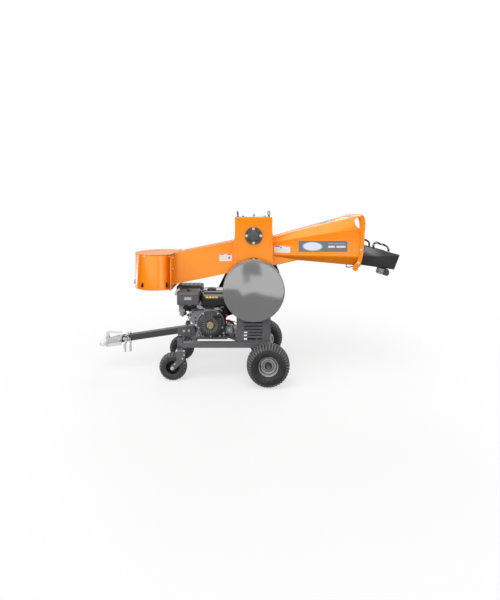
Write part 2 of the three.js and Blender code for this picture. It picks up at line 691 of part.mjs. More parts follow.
// band round the mouth, with an ear at each lower corner
function mouthHoop() {
  // cheek [x, z]: infeed edge, round ear, then up the funnel side
  const cheek = [
    [768, 1236], [762, 1166], [758, 1095], [752, 1023], [747, 988], [739, 952], [724, 917],
    [712, 891],
    ...arc(692, 894, 21, 7, -0.2, -(Math.PI - 0.3) / 6),
    [672, 905], [700, 935], [716, 975], [729, 1040], [733, 1150], [733, 1240], [733, 1296],
    [745, 1300], [758, 1290], [765, 1272],
  ];
  const topBand = prismY([
    [733, 1292], [733, 1306], [744, 1311], [757, 1305], [765, 1290],
    [760, 1280], [752, 1300], [740, 1305], [738, 1292],
  ], -HOOP_Y, HOOP_Y);
  // inner lip joining the cheeks to the funnel edge
  const lipX0 = MOUTH_X + GAP;
  const lipX1 = lipX0 + 4;
  const lipBore = loft([mouthRing(MOUTH_X - 9, 3), mouthRing(MOUTH_X + 19, 3)]);
  const lip = loft([mouthRing(lipX0, -6.5), mouthRing(lipX1, -6.5)]).subtract(lipBore);
  // room for the last stretch of the funnel, 1 mm larger all round
  const roomX = MOUTH_X - 60;
  const roomFraction = (roomX - THROAT_X) / (MOUTH_X - THROAT_X);
  const funnelRoom = loft([
    blend(throatRing(THROAT_X, -1), mouthRing(MOUTH_X, -1), roomFraction),
    mouthRing(MOUTH_X + 0.25, -1),
  ]);
  return union(
    pair(HOOP_Y, HOOP_Y + 4, (y0, y1) => prismY(cheek, y0, y1)),
    topBand,
    pair(198, HOOP_Y + 1, (y0, y1) => box(740, 749, y0, y1, 975, 1220)),
    lip,
    box(744, 749, -168, 168, 1300, 1308),
    box(lipX0, lipX1, -150, 150, 1285, 1311).subtract(lipBore),
  )
    .subtract(funnelRoom)
    .subtract(hingeHoles(195, 215, 7.2, 16));
}

// tapered trough, hinged between the ears
function infeedTray() {
  // each end is given by its far-side corners [x, y, z]: top edge, crease, floor
  const end = (corners) => [
    ...corners.map(([x, y, z]) => [x, -y, z]),
    ...[...corners].reverse(),
  ];
  const outer = loft([
    end([[756, 166, 1071], [754, 168, 981], [752, 128, 906]]),
    end([[1069, 148, 986], [1066, 149, 982], [1038, 112, 863]]),
  ]);
  const inner = loft([
    end([[700, 166.2, 1106], [700, 168.3, 982], [700, 129.1, 916.8]]),
    end([[1120, 142.2, 1002], [1120, 142.7, 983], [1090, 107.3, 858.2]]),
  ]);
  // hinge arms inside the mouth, with pins reaching out into the ears
  const armY = 145;
  const arm = [
    [759, 985], [759, 925], [PIVOT_X - 12, 923], [PIVOT_X - 12, PIVOT_Z + 11],
    [PIVOT_X + 8, PIVOT_Z + 17], [744, 985],
  ];
  return union(
    outer.subtract(inner),
    pair(armY, armY + 6, (y0, y1) => prismY(arm, y0, y1)),
    pair(armY, 165, (y0, y1) => box(753.5, 759, y0, y1, 932, 985)),
    pair(armY + 1, 209, (y0, y1) => cylinderY(PIVOT_X, PIVOT_Z, 6.2, y0, y1, 14)),
  );
}

// lift handle standing on the tray edge
function trayHandle(x0, y) {
  const x1 = x0 + 116;
  const middle = (x0 + x1) / 2;
  const bend = 14;
  const edgeZ = (x) => 1072 - ((x - 756) * 86) / 313;
  const path = [
    [x0 + 2, y, edgeZ(x0) + 3], [x0 - 3, y, edgeZ(x0) + 22], [x0 + bend, y, edgeZ(x0) + 42],
    [middle, y, edgeZ(middle) + 46],
    [x1 - bend, y, edgeZ(x1) + 46], [x1 + 4, y, edgeZ(x1) + 24], [x1, y, edgeZ(x1) + 3],
  ];
  return roundBar(path, 6.5, 7, 18);
}

const BUTTON_Z = -4; // button axis in the frame of the control box
const controlBox = () =>
  box(-44, 44, -28, 28, -26, 20).subtract(cylinderX(0, BUTTON_Z, 6.6, 26, 56, 14));
const stopButton = () =>
  union(cylinderX(0, BUTTON_Z, 6, 33, 51, 14), cylinderX(0, BUTTON_Z, 13.5, 50, 59, 20));

const infeed = subgroup(machine);
add(infeed, "infeed_funnel", infeedFunnel(), "orange");
add(infeed, "mouth_hoop", mouthHoop(), "orange");
add(infeed, "infeed_tray", infeedTray(), "grey");
add(infeed, "tray_handle_near", trayHandle(856, -157), "grey");
add(infeed, "tray_handle_far", trayHandle(812, 157), "black");
// control box under the near half of the tray, tilted with it; the button is on its +X end
const controls = subgroup(infeed, [936, -112, 852]);
controls.rotation.y = THREE.MathUtils.degToRad(15.5);
add(controls, "control_box", controlBox(), "black");
add(controls, "stop_button", stopButton(), "red");

// ---------------------------------------------------------------- discharge
// sloping square duct with a flange at each end
function dischargeChute() {
  const length = CHUTE_X1 - CHUTE_X0;
  const top = (x) => 993 + ((1094 - 993) / length) * (x - CHUTE_X0);
  const bottom = (x) => 738 + ((841 - 738) / length) * (x - CHUTE_X0);
  const duct = (x0, x1, inset, halfWidth) =>
    prismY([
      [x0, top(x0) - inset], [x1, top(x1) - inset],
      [x1, bottom(x1) + inset], [x0, bottom(x0) + inset],
    ], -halfWidth, halfWidth);
  return union(
    duct(CHUTE_X0, CHUTE_X1 + 2, 0, CHUTE_Y),
    box(CHUTE_X1, BOX_X0 - GAP, -130, 130, 836, 1126),
    box(CHUTE_X0 - FLANGE_T, CHUTE_X0, -FLANGE_Y, FLANGE_Y, HOOD_Z0, 995),
  ).subtract(duct(CHUTE_X0 - 10, CHUTE_X1 + 20, 3.2, CHUTE_Y - 3));
}

// round plan [x, y] of the hood, cut off at cutX
const hoodPlan = (radius, cutX, steps = 24) => {
  const start = Math.acos((cutX - HOOD_X) / radius);
  return arc(HOOD_X, 0, radius, steps + 1, start, (2 * Math.PI - 2 * start) / steps);
};

function bagHood() {
  const faceX = HOOD_FACE_X;
  const z0 = HOOD_Z0 - 10;
  const z1 = HOOD_Z1 + 10;
  const openingY = 146;
  const corners = pair(openingY, 260, (y0, y1) =>
    box(HOOD_X + 100, HOOD_X + 260, y0, y1, 0, 1200));
  const hollow = cylinderZ(HOOD_X, 0, HOOD_R - 3, z0, z1, 36).subtract(corners);
  const rimRing = prismZ(hoodPlan(HOOD_R - 2, faceX - 4), HOOD_Z1 - 4, HOOD_Z1)
    .subtract(prismZ(hoodPlan(HOOD_R - 14, faceX - 18), HOOD_Z1 - 20, z1));
  return prismZ(hoodPlan(HOOD_R, faceX), HOOD_Z0, HOOD_Z1)
    .add(box(faceX - FLANGE_T, faceX, -FLANGE_Y, FLANGE_Y, HOOD_Z0, HOOD_Z1))
    .subtract(hollow)
    .subtract(box(faceX - 30, faceX + 10, -openingY, openingY, z0, z1))
    .add(rimRing);
}

const bagHoodLid = () =>
  prismZ(hoodPlan(HOOD_R + 2, HOOD_FACE_X - 1, 36), HOOD_Z1 + GAP, HOOD_Z1 + GAP + 4);

// strip with an upturned hook for the bag rim, opening upwards
const bagHook = () =>
  union(box(-4, 4, -7, 7, -16, 14), box(4, 13, -7, 7, -16, -9), box(10, 13, -7, 7, -16, 4));

const discharge = subgroup(machine);
add(discharge, "discharge_chute", dischargeChute(), "orange");
add(discharge, "bag_hood", bagHood(), "orange");
add(discharge, "bag_hood_lid", bagHoodLid(), "orange");
const hookAt = [HOOD_X - HOOD_R - 4.6, 0, HOOD_Z0 + 40];
add(discharge, "bag_hook_end", bagHook(), "black", hookAt).rotation.z = Math.PI;

// ---------------------------------------------------------------- engine
const FAN_Y1 = -88 - GAP; // machine-side face of the fan housing
const CAP_X = -453, CAP_Y = -84; // fuel filler

function engineBlock() {
  const footZ = PLATFORM_TOP + GAP;
  const crankcase = prismY([
    [-560, footZ], [-345, footZ], [-345, 335], [-352, 480], [-380, 545], [-470, 560],
    [-560, 552], [-612, 548], [-650, 470], [-552, 326],
  ], -88, 92);
  const cylinderHead = prismY([
    [-655, 470], [-618, 575], [-560, 583], [-520, 540], [-560, 440],
  ], -70, 74);
  return union(crankcase, cylinderHead, cylinderY(CRANK_X, CRANK_Z, 42, 80, 104))
    .subtract(cylinderY(CRANK_X, CRANK_Z, 14.4, 60, 120, 16));
}

const fanHousing = () =>
  union(
    cylinderY(CRANK_X, CRANK_Z, 106, -150, FAN_Y1, 32),
    cylinderY(CRANK_X, CRANK_Z, 97, -182, -150, 32),
    cylinderY(CRANK_X, CRANK_Z, 70, -190, -182),
    prismY([[-455, 541], [-610, 545], [-640, 470], [-555, 400], [-455, 400]], -120, FAN_Y1),
  );

// recoil grip lying along X, on the near side of the fan housing
const starterGrip = () => {
  const grip = new THREE.CapsuleGeometry(9, 46, 4, 10);
  grip.rotateZ(Math.PI / 2);
  return toSolid(grip);
};

const fuelTank = () =>
  rectangleLoft([
    [572, -524, -300, -128, 0],
    [596, -538, -288, -142, 14],
    [676, -538, -288, -142, 14],
    [697, -526, -300, -128, 0],
  ]).subtract(cylinderZ(CAP_X, CAP_Y, 22, 690, 720, 16));

const fuelCap = () => union(cylinderZ(0, 0, 20, -6.5, 1.5, 16), cylinderZ(0, 0, 32, 1, 8, 20));

const airCleaner = () =>
  rectangleLoft([
    [586, -722, -550, -160, -10],
    [596, -726, -546, -165, -4],
    [676, -726, -546, -165, -4],
    [689, -716, -554, -150, -12],
  ]);

const carburettor = () =>
  union(
    box(-708, -660, -140, -62, 482, 585.6),
    cylinderY(-684, 500, 24, -146, -100, 16),
    box(-665, -640, -110, -74, 545, 580),
  );

const muffler = () =>
  union(
    rectangleLoft([
      [600, -750, -575, 14, 118],
      [640, -756, -569, 8, 124],
      [688, -750, -575, 14, 118],
    ]),
    box(-640, -600, 20, 60, 591, 605),
  );

// top plate with walls at both X ends and on the far side
const mufflerGuard = () =>
  union(
    box(-762, -546, 2, 132, 694, 706),
    box(-762, -757.5, 2, 132, 640, 700),
    box(-760, -548, 127, 132, 640, 700),
    box(-560, -546, 2, 132, 640, 700),
  );

// motor barrel with a smaller cylinder above it
const starterMotor = () =>
  union(
    cylinderY(-306, 372, 36, -112, 10, 18),
    cylinderY(-311, 424, 17, -100, -30, 12),
    box(-323, -299, -90, -40, 395, 420),
  );

// flat lever with a pivot boss at its origin and a knob at its -X end
const throttleLever = () =>
  union(
    prismY([[-6, -5], [6, -5], [6, 5], [-50, 9], [-54, 3], [-50, -3]], -2, 2),
    cylinderY(-50, 3, 7, -6, 6, 10),
    cylinderY(0, 0, 7, -3, 6, 12),
  );

const engine = subgroup(machine);
add(engine, "engine_block", engineBlock(), "aluminium");
add(engine, "fan_housing", fanHousing(), "black");
add(engine, "starter_grip", starterGrip(), "black", [-396, -204, 508]);
add(engine, "fuel_tank", fuelTank(), "black");
add(engine, "fuel_cap", fuelCap(), "black", [CAP_X, CAP_Y, 697.5]);
add(engine, "air_cleaner", airCleaner(), "black");
add(engine, "carburettor", carburettor(), "aluminium");
add(engine, "muffler", muffler(), "zinc");
add(engine, "muffler_guard", mufflerGuard(), "black");
add(engine, "starter_motor", starterMotor(), "iron");
add(engine, "throttle_lever", throttleLever(), "black", [-598, -130, 566]);

export default group;
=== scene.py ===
import math

import bmesh
import bpy
from mathutils import Matrix, Vector, noise


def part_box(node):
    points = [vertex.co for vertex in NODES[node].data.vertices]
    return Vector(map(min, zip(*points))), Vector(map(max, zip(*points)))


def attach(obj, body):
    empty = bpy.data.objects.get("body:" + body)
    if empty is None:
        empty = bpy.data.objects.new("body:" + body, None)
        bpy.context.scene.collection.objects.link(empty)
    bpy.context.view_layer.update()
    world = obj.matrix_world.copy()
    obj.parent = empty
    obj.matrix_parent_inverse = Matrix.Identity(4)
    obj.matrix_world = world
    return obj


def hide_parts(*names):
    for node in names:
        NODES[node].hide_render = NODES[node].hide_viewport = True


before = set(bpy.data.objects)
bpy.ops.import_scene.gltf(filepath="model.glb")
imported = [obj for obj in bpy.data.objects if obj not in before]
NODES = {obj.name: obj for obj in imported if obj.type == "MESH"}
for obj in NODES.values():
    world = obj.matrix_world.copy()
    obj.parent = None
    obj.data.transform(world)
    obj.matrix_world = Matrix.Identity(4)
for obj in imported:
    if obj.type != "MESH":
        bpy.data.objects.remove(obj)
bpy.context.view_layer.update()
XS = 168.5  # layout millimetres to the row frame
FAR_X0 = 812


def P(x, y, z):
    return Vector(((x + XS) * 0.001, y * 0.001, z * 0.001))


def lin(c):
    return c / 12.92 if c <= 0.04045 else ((c + 0.055) / 1.055) ** 2.4


def rgb(r, g, b):
    return (lin(r / 255), lin(g / 255), lin(b / 255), 1.0)


def centre(node):
    lo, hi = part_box(node)
    return (lo + hi) / 2


# ------------------------------------------------------------------ materials
class Mat:
    """Small helper for building node trees."""

    def __init__(self, name):
        self.m = bpy.data.materials.new(name)
        self.m.use_nodes = True
        self.t = self.m.node_tree
        self.b = self.t.nodes["Principled BSDF"]
        self.co = self.t.nodes.new("ShaderNodeTexCoord").outputs["Object"]

    def node(self, kind, **props):
        n = self.t.nodes.new(kind)
        for k, v in props.items():
            setattr(n, k, v)
        return n

    def link(self, a, b):
        self.t.links.new(a, b)

    def noise(self, scale, detail=3.0, rough=0.5, stretch=None):
        n = self.node("ShaderNodeTexNoise")
        n.inputs["Scale"].default_value = scale
        n.inputs["Detail"].default_value = detail
        n.inputs["Roughness"].default_value = rough
        src = self.co
        if stretch:
            mp = self.node("ShaderNodeMapping")
            mp.inputs["Scale"].default_value = stretch
            self.link(self.co, mp.inputs["Vector"])
            src = mp.outputs["Vector"]
        self.link(src, n.inputs["Vector"])
        return n.outputs["Fac"]

    def ramp(self, fac, stops):
        r = self.node("ShaderNodeValToRGB")
        el = r.color_ramp.elements
        while len(el) < len(stops):
            el.new(0.5)
        for e, (p, c) in zip(el, stops):
            e.position, e.color = p, c
        self.link(fac, r.inputs["Fac"])
        return r.outputs["Color"]

    def mapr(self, fac, lo, hi, a=0.0, b=1.0):
        r = self.node("ShaderNodeMapRange")
        r.inputs["From Min"].default_value, r.inputs["From Max"].default_value = a, b
        r.inputs["To Min"].default_value, r.inputs["To Max"].default_value = lo, hi
        self.link(fac, r.inputs["Value"])
        return r.outputs["Result"]

    def mix(self, fac, a, b, blend="MIX"):
        n = self.node("ShaderNodeMix", data_type="RGBA", blend_type=blend)
        for sock, v in ((n.inputs[0], fac), (n.inputs[6], a), (n.inputs[7], b)):
            if hasattr(v, "is_linked") or hasattr(v, "links"):
                self.link(v, sock)
            else:
                sock.default_value = v
        return n.outputs[2]

    def math(self, op, a, b=0.5, clamp=False):
        n = self.node("ShaderNodeMath", operation=op, use_clamp=clamp)
        for sock, v in ((n.inputs[0], a), (n.inputs[1], b)):
            if hasattr(v, "links"):
                self.link(v, sock)
            else:
                sock.default_value = v
        return n.outputs[0]

    def bump(self, height, strength=0.1, dist=0.001, chain=None):
        n = self.node("ShaderNodeBump")
        n.inputs["Strength"].default_value = strength
        n.inputs["Distance"].default_value = dist
        self.link(height, n.inputs["Height"])
        if chain:
            self.link(chain, n.inputs["Normal"])
        self.link(n.outputs["Normal"], self.b.inputs["Normal"])
        return n.outputs["Normal"]


def edge_wear_highlight_mask(m, radius=0.003):
    """Bright where the surface turns sharply: partly the worn rim of a painted sheet, partly a painted highlight on the
    rounded edge.
    """
    bv = m.node("ShaderNodeBevel", samples=4)
    bv.inputs["Radius"].default_value = radius
    geo = m.node("ShaderNodeNewGeometry")
    dot = m.node("ShaderNodeVectorMath", operation="DOT_PRODUCT")
    m.link(bv.outputs["Normal"], dot.inputs[0])
    m.link(geo.outputs["Normal"], dot.inputs[1])
    inv = m.math("SUBTRACT", 1.0, dot.outputs["Value"], clamp=True)
    return m.mapr(inv, 0.0, 1.0, 0.02, 0.22)


def painted(name, col, rough=0.3, metal=0.0, coat=0.0, var=0.05, peel=0.25, edges=None, wear_and_sheen=0.0, spec=0.5):
    m = Mat(name)
    n1 = m.noise(3.2, 4)
    n2 = m.noise(38, 5, 0.6)
    dark = tuple(c * (1 - var) for c in col[:3]) + (1,)
    light = tuple(min(1, c * (1 + var)) for c in col[:3]) + (1,)
    base = m.ramp(n1, [(0.3, dark), (0.7, light)])
    speck = m.ramp(n2, [(0.0, tuple(c * 0.93 for c in col[:3]) + (1,)), (1.0, light)])
    base = m.mix(0.35, base, speck)
    # paler rim where the surface turns sharply: partly edge wear, partly painted highlight
    if edges is not None and wear_and_sheen > 0:
        mask = edge_wear_highlight_mask(m)
        rim_breakup = m.mapr(m.noise(60, 6, 0.7), 0, 1, 0.42, 0.62)
        amount = m.math("MULTIPLY", mask, m.math("MULTIPLY", rim_breakup, wear_and_sheen), clamp=True)
        base = m.mix(amount, base, edges)
    m.link(base, m.b.inputs["Base Color"])
    rr = m.mapr(m.noise(9, 5, 0.6), rough * 0.82, rough * 1.25)
    m.link(rr, m.b.inputs["Roughness"])
    m.b.inputs["Metallic"].default_value = metal
    m.b.inputs["Coat Weight"].default_value = coat
    m.b.inputs["Coat Roughness"].default_value = 0.12
    m.b.inputs["Specular IOR Level"].default_value = spec
    m.bump(m.noise(520, 2), peel * 0.12, 0.0006)
    return m.m


ORANGE = painted("orange_powder_coat", rgb(255, 138, 0), 0.2, 0.0, 0.0, 0.03, 0.3, rgb(255, 196, 130), 0.35, 1.0)
ORANGE.node_tree.nodes["Principled BSDF"].inputs["Specular Tint"].default_value = (1.0, 0.93, 0.48, 1.0)
ORANGE_SHEET = ORANGE
GREY = painted("grey_powder_coat", rgb(100, 100, 102), 0.38, 0.0, 0.12, 0.06, 0.45, rgb(150, 150, 152), 0.6)
# drawbar: a darker copy of the frame grey as painted shade, with a strong pale rim as painted highlight along its edges
BAR_GREY_SHADED = painted("drawbar_grey_painted_shade", rgb(72, 72, 74), 0.4, 0.0, 0.05, 0.06, 0.45, rgb(190, 190, 192), 0.8)
TRAY_GREY = painted("tray_grey_powder_coat", rgb(84, 84, 85), 0.2, 0.0, 0.3, 0.06, 0.35, rgb(140, 140, 142), 0.6)
GREY_DARK = painted("dark_grey_powder_coat", rgb(66, 66, 67), 0.36, 0.0, 0.15, 0.06, 0.4, rgb(140, 140, 142), 0.6)
BLACK_PAINT = painted("black_satin_paint", rgb(28, 28, 29), 0.36, 0.0, 0.1, 0.1, 0.35, rgb(90, 90, 92), 0.5)
TANK = painted("tank_enamel", rgb(42, 42, 44), 0.16, 0.0, 1.0, 0.06, 0.1)
TANK.node_tree.nodes["Principled BSDF"].inputs["Coat IOR"].default_value = 1.9
PLASTIC = painted("moulded_black_plastic", rgb(66, 66, 68), 0.42, 0.0, 0.0, 0.08, 1.1)
PLASTIC_LIGHT = painted("moulded_grey_plastic", rgb(122, 122, 124), 0.4, 0.0, 0.0, 0.07, 1.0)
PLASTIC_GREY = painted("moulded_dark_grey_plastic", rgb(92, 92, 94), 0.4, 0.0, 0.0, 0.07, 1.0)
RED = painted("red_plastic", rgb(196, 16, 34), 0.25, 0.0, 0.4, 0.06, 0.2)
TEAL = painted("teal_plastic_cap", rgb(50, 170, 150), 0.35, 0.0, 0.2, 0.05, 0.2)
YELLOW = painted("yellow_plastic", rgb(230, 205, 30), 0.35, 0.0, 0.2, 0.05, 0.2)


def hood_paint_shaded():
    """The same orange with painted light: painted shade where the sheet turns towards the flange, a paler painted
    highlight band beside the lap seam, and lighter painted shade on the left-front side.
    """
    m = Mat("orange_sheet_painted_light")
    sep = m.node("ShaderNodeSeparateXYZ")
    m.link(m.co, sep.inputs[0])
    a = m.math("ARCTAN2", sep.outputs["Y"], m.math("ADD", sep.outputs["X"], 0.7315))

    def bell(c, w):
        d = m.math("ABSOLUTE", m.math("SUBTRACT", a, c))
        r = m.node("ShaderNodeMapRange", interpolation_type="SMOOTHSTEP")
        r.inputs["From Min"].default_value, r.inputs["From Max"].default_value = w, w * 0.35
        m.link(d, r.inputs["Value"])
        return r.outputs["Result"]

    base = m.ramp(m.noise(3.2, 4), [(0.3, rgb(250, 133, 0)), (0.7, rgb(255, 142, 4))])
    # painted shade on the side turning towards the flange
    base = m.mix(m.math("MULTIPLY", bell(-0.92, 0.24), 0.9), base, rgb(214, 84, 0))
    # painted highlight: a paler band beside the lap seam
    base = m.mix(m.math("MULTIPLY", bell(-1.30, 0.10), 0.45), base, rgb(255, 168, 70))
    # painted shade on the left-front side
    base = m.mix(m.math("MULTIPLY", bell(-2.28, 0.22), 0.5), base, rgb(236, 108, 0))
    m.link(base, m.b.inputs["Base Color"])
    m.link(m.mapr(m.noise(9, 5, 0.6), 0.14, 0.2), m.b.inputs["Roughness"])
    m.b.inputs["Specular IOR Level"].default_value = 1.0
    m.b.inputs["Specular Tint"].default_value = (1.0, 0.93, 0.55, 1.0)
    m.bump(m.noise(520, 2), 0.036, 0.0006)
    return m.m


def tray_paint_lit():
    """Grey powder coat, paler on the upper panels near the mouth: a painted highlight."""
    m = Mat("tray_grey_painted_highlight")
    sep = m.node("ShaderNodeSeparateXYZ")
    m.link(m.co, sep.inputs[0])
    x, z = sep.outputs["X"], sep.outputs["Z"]
    line = m.math("ADD", z, m.math("MULTIPLY", x, 0.32))
    n = m.mapr(m.noise(9, 3), -0.01, 0.01)
    up = m.node("ShaderNodeMapRange", interpolation_type="SMOOTHSTEP")
    up.inputs["From Min"].default_value, up.inputs["From Max"].default_value = 1.298, 1.33
    m.link(m.math("ADD", line, n), up.inputs["Value"])
    side = m.node("ShaderNodeMapRange", interpolation_type="SMOOTHSTEP")
    side.inputs["From Min"].default_value, side.inputs["From Max"].default_value = 1.12, 0.95
    m.link(x, side.inputs["Value"])
    base = m.ramp(m.noise(4, 4), [(0.3, rgb(58, 58, 59)), (0.7, rgb(64, 64, 65))])
    # painted highlight: the upper panels near the mouth mixed towards pale grey
    base = m.mix(m.math("MULTIPLY", m.math("MULTIPLY", up.outputs["Result"], side.outputs["Result"]), 0.85), base, rgb(146, 146, 148))
    m.link(base, m.b.inputs["Base Color"])
    m.link(m.mapr(m.noise(9, 5, 0.6), 0.24, 0.36), m.b.inputs["Roughness"])
    m.b.inputs["Coat Weight"].default_value = 0.2
    m.bump(m.noise(520, 2), 0.04, 0.0006)
    return m.m


HOOD, TRAY_PAINTED_LIGHT = hood_paint_shaded(), tray_paint_lit()


def guard_material():
    m = Mat("grey_gloss_enamel")
    n1 = m.noise(2.2, 3)
    base = m.ramp(n1, [(0.3, rgb(136, 136, 137)), (0.7, rgb(142, 142, 143))])
    fine = m.ramp(m.noise(300, 2), [(0.0, rgb(132, 132, 133)), (1.0, rgb(148, 148, 149))])
    m.link(m.mix(0.25, base, fine), m.b.inputs["Base Color"])
    m.b.inputs["Metallic"].default_value = 0.3
    m.link(m.mapr(m.noise(6, 5, 0.6), 0.045, 0.075), m.b.inputs["Roughness"])
    m.b.inputs["Coat Weight"].default_value = 0.6
    m.b.inputs["Coat Roughness"].default_value = 0.05
    soft = m.bump(m.noise(4.2, 1.5), 0.3, 0.004)
    m.bump(m.noise(650, 2), 0.025, 0.0004, chain=soft)
    return m.m


GUARD = guard_material()


def bare_metal(name, col, rough=0.34, scale=70, stretch=(1, 1, 8), var=0.12, peel=0.2, metal=1.0):
    m = Mat(name)
    n = m.noise(scale, 5, 0.65, stretch)
    lo = tuple(c * (1 - var) for c in col[:3]) + (1,)
    hi = tuple(min(1, c * (1 + var)) for c in col[:3]) + (1,)
    spots = m.noise(16, 6, 0.7)
    base = m.ramp(n, [(0.25, lo), (0.75, hi)])
    stain = m.ramp(spots, [(0.55, (1, 1, 1, 1)), (0.8, (0.72, 0.7, 0.68, 1))])
    m.link(m.mix(0.5, base, m.mix(1.0, base, stain, "MULTIPLY")), m.b.inputs["Base Color"])
    m.b.inputs["Metallic"].default_value = metal
    m.link(m.mapr(n, rough * 0.75, rough * 1.3), m.b.inputs["Roughness"])
    m.bump(m.noise(scale * 6, 3), peel * 0.3, 0.0005)
    return m.m


ZINC = bare_metal("zinc_plated_steel", rgb(205, 207, 210), 0.3, metal=0.6)
EYE = bare_metal("worn_eye_steel", rgb(118, 118, 120), 0.42, 90, metal=0.5)
BOLT = bare_metal("bright_bolt_steel", rgb(226, 226, 228), 0.3, 160, metal=0.35)
WHEEL_STEEL = bare_metal("silver_wheel_paint", rgb(190, 190, 192), 0.34, 40, None, 0.08, 0.35, 0.15)
ALU = bare_metal("cast_aluminium", rgb(178, 179, 180), 0.46, 55, None, 0.16, 1.6, 0.45)
ALU_DARK = bare_metal("dark_cast_aluminium", rgb(112, 113, 115), 0.5, 55, None, 0.2, 1.8, 0.45)
IRON = bare_metal("oiled_cast_iron", rgb(76, 76, 78), 0.46, 45, None, 0.2, 1.8, 0.7)
CHROME = bare_metal("polished_muffler_shell", rgb(226, 225, 222), 0.24, 30, None, 0.08, 0.15, 0.4)
WARM = bare_metal("warm_plated_steel", rgb(246, 214, 188), 0.3, 160, metal=0.35)
CAP = painted("bearing_cap_enamel", rgb(74, 76, 78), 0.34, 0.0, 0.2, 0.08, 0.6, rgb(150, 150, 152), 0.6)
COVER = painted("pale_grey_cover_paint", rgb(168, 168, 178), 0.36, 0.0, 0.1, 0.05, 0.4)
BRASS = bare_metal("gold_badge", rgb(206, 184, 132), 0.34, 90, None, 0.25, 0.5, 0.5)
SHROUD = painted("shroud_grey_enamel", rgb(128, 128, 130), 0.36, 0.0, 0.1, 0.12, 0.6, rgb(170, 170, 172), 0.6)


def rubber(name, col, dust=0.35):
    m = Mat(name)
    n1 = m.noise(30, 6, 0.65)
    base = m.ramp(n1, [(0.3, tuple(c * 0.8 for c in col[:3]) + (1,)), (0.75, tuple(c * 1.25 for c in col[:3]) + (1,))])
    geo = m.node("ShaderNodeNewGeometry")
    d = m.noise(11, 5, 0.7)
    dusty = m.math("MULTIPLY", m.mapr(d, 0, 1, 0.45, 0.7), dust, clamp=True)
    m.link(m.mix(dusty, base, rgb(92, 90, 88)), m.b.inputs["Base Color"])
    m.link(m.mapr(n1, 0.5, 0.74), m.b.inputs["Roughness"])
    m.b.inputs["Specular IOR Level"].default_value = 0.42
    m.bump(m.noise(420, 4, 0.7), 0.16, 0.0008)
    return m.m


TYRE = rubber("tyre_rubber", rgb(50, 50, 51), 0.34)
TYRE_SMALL = rubber("small_tyre_rubber", rgb(66, 66, 67), 0.3)
# lugs in a paler copy of the tyre rubber: painted highlight on the tread
TYRE_LUG_LIT = rubber("tyre_lug_rubber_painted_highlight", rgb(104, 104, 104), 0.3)
BELT = rubber("belt_rubber", rgb(30, 30, 31), 0.15)
GRIP = rubber("black_grip", rgb(24, 24, 25), 0.1)


def striped(name, a, b, angle, width):
    m = Mat(name)
    mp = m.node("ShaderNodeMapping")
    mp.inputs["Rotation"].default_value = (0, angle, 0)
    m.link(m.co, mp.inputs["Vector"])
    w = m.node("ShaderNodeTexWave", wave_type="BANDS", bands_direction="X", wave_profile="SIN")
    w.inputs["Scale"].default_value = width
    w.inputs["Distortion"].default_value = 0.15
    m.link(mp.outputs["Vector"], w.inputs["Vector"])
    c = m.ramp(w.outputs["Fac"], [(0.42, a), (0.58, b)])
    var = m.ramp(m.noise(60, 4), [(0.3, (0.85, 0.85, 0.85, 1)), (0.8, (1, 1, 1, 1))])
    m.link(m.mix(1.0, c, var, "MULTIPLY"), m.b.inputs["Base Color"])
    m.b.inputs["Roughness"].default_value = 0.34
    m.b.inputs["Metallic"].default_value = 0.2
    m.bump(w.outputs["Fac"], 0.35, 0.0012)
    return m.m


HANDLE = striped("ribbed_handle_paint", rgb(176, 176, 178), rgb(40, 40, 42), math.radians(38), 12.0)


def label(name, blocks, base=rgb(236, 234, 232), rough=0.35):
    """Flat generic panel: rectangles of plain colour in the object's own 0..1 square (Generated coordinates)."""
    m = Mat(name)
    gen = m.t.nodes["Texture Coordinate"].outputs["Generated"]
    sep = m.node("ShaderNodeSeparateXYZ")
    m.link(gen, sep.inputs[0])
    u, v = sep.outputs["X"], sep.outputs["Z"]
    fine = m.ramp(m.noise(700, 2), [(0.2, tuple(c * 0.95 for c in base[:3]) + (1,)), (0.8, base)])
    out = fine
    for x0, x1, y0, y1, c in blocks:
        k = None
        for s, lo, hi in ((u, x0, x1), (v, y0, y1)):
            g = m.math("MULTIPLY", m.math("GREATER_THAN", s, lo), m.math("LESS_THAN", s, hi))
            k = g if k is None else m.math("MULTIPLY", k, g)
        out = m.mix(k, out, c)
    m.link(out, m.b.inputs["Base Color"])
    m.link(m.mapr(m.noise(24, 4), rough * 0.8, rough * 1.2), m.b.inputs["Roughness"])
    m.b.inputs["Coat Weight"].default_value = 0.3
    m.bump(m.noise(500, 2), 0.02, 0.0004)
    return m.m


# ------------------------------------------------------------------ mesh tools
def obj_from(name, bm, mat, body, replaces=(), smooth=True, bevel=0.0, segs=2, angle=35, weld=False, slot=None, mats=None):
    me = bpy.data.meshes.new(name)
    bmesh.ops.recalc_face_normals(bm, faces=bm.faces)
    bm.to_mesh(me)
    bm.free()
    ob = bpy.data.objects.new(name, me)
    bpy.context.scene.collection.objects.link(ob)
    for m in mats or [mat]:
        me.materials.append(m)
    finish_shading(ob, smooth, bevel, segs, angle, weld)
    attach(ob, body)
    if replaces:
        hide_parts(*([replaces] if isinstance(replaces, str) else replaces))
    return ob


def finish_shading(ob, smooth=True, bevel=0.0, segs=2, angle=35, weld=False):
    if weld:
        w = ob.modifiers.new("weld", "WELD")
        w.merge_threshold = 2e-5
    if bevel:
        b = ob.modifiers.new("bevel", "BEVEL")
        b.width, b.segments, b.limit_method = bevel, segs, "ANGLE"
        b.angle_limit = math.radians(angle)
        b.harden_normals = False
        b.use_clamp_overlap = True
    if smooth:
        for p in ob.data.polygons:
            p.use_smooth = True
        ob.data.set_sharp_from_angle(angle=math.radians(angle)) if not bevel else None
        if bevel:
            wn = ob.modifiers.new("wn", "WEIGHTED_NORMAL")
            wn.keep_sharp = False
            wn.weight = 80


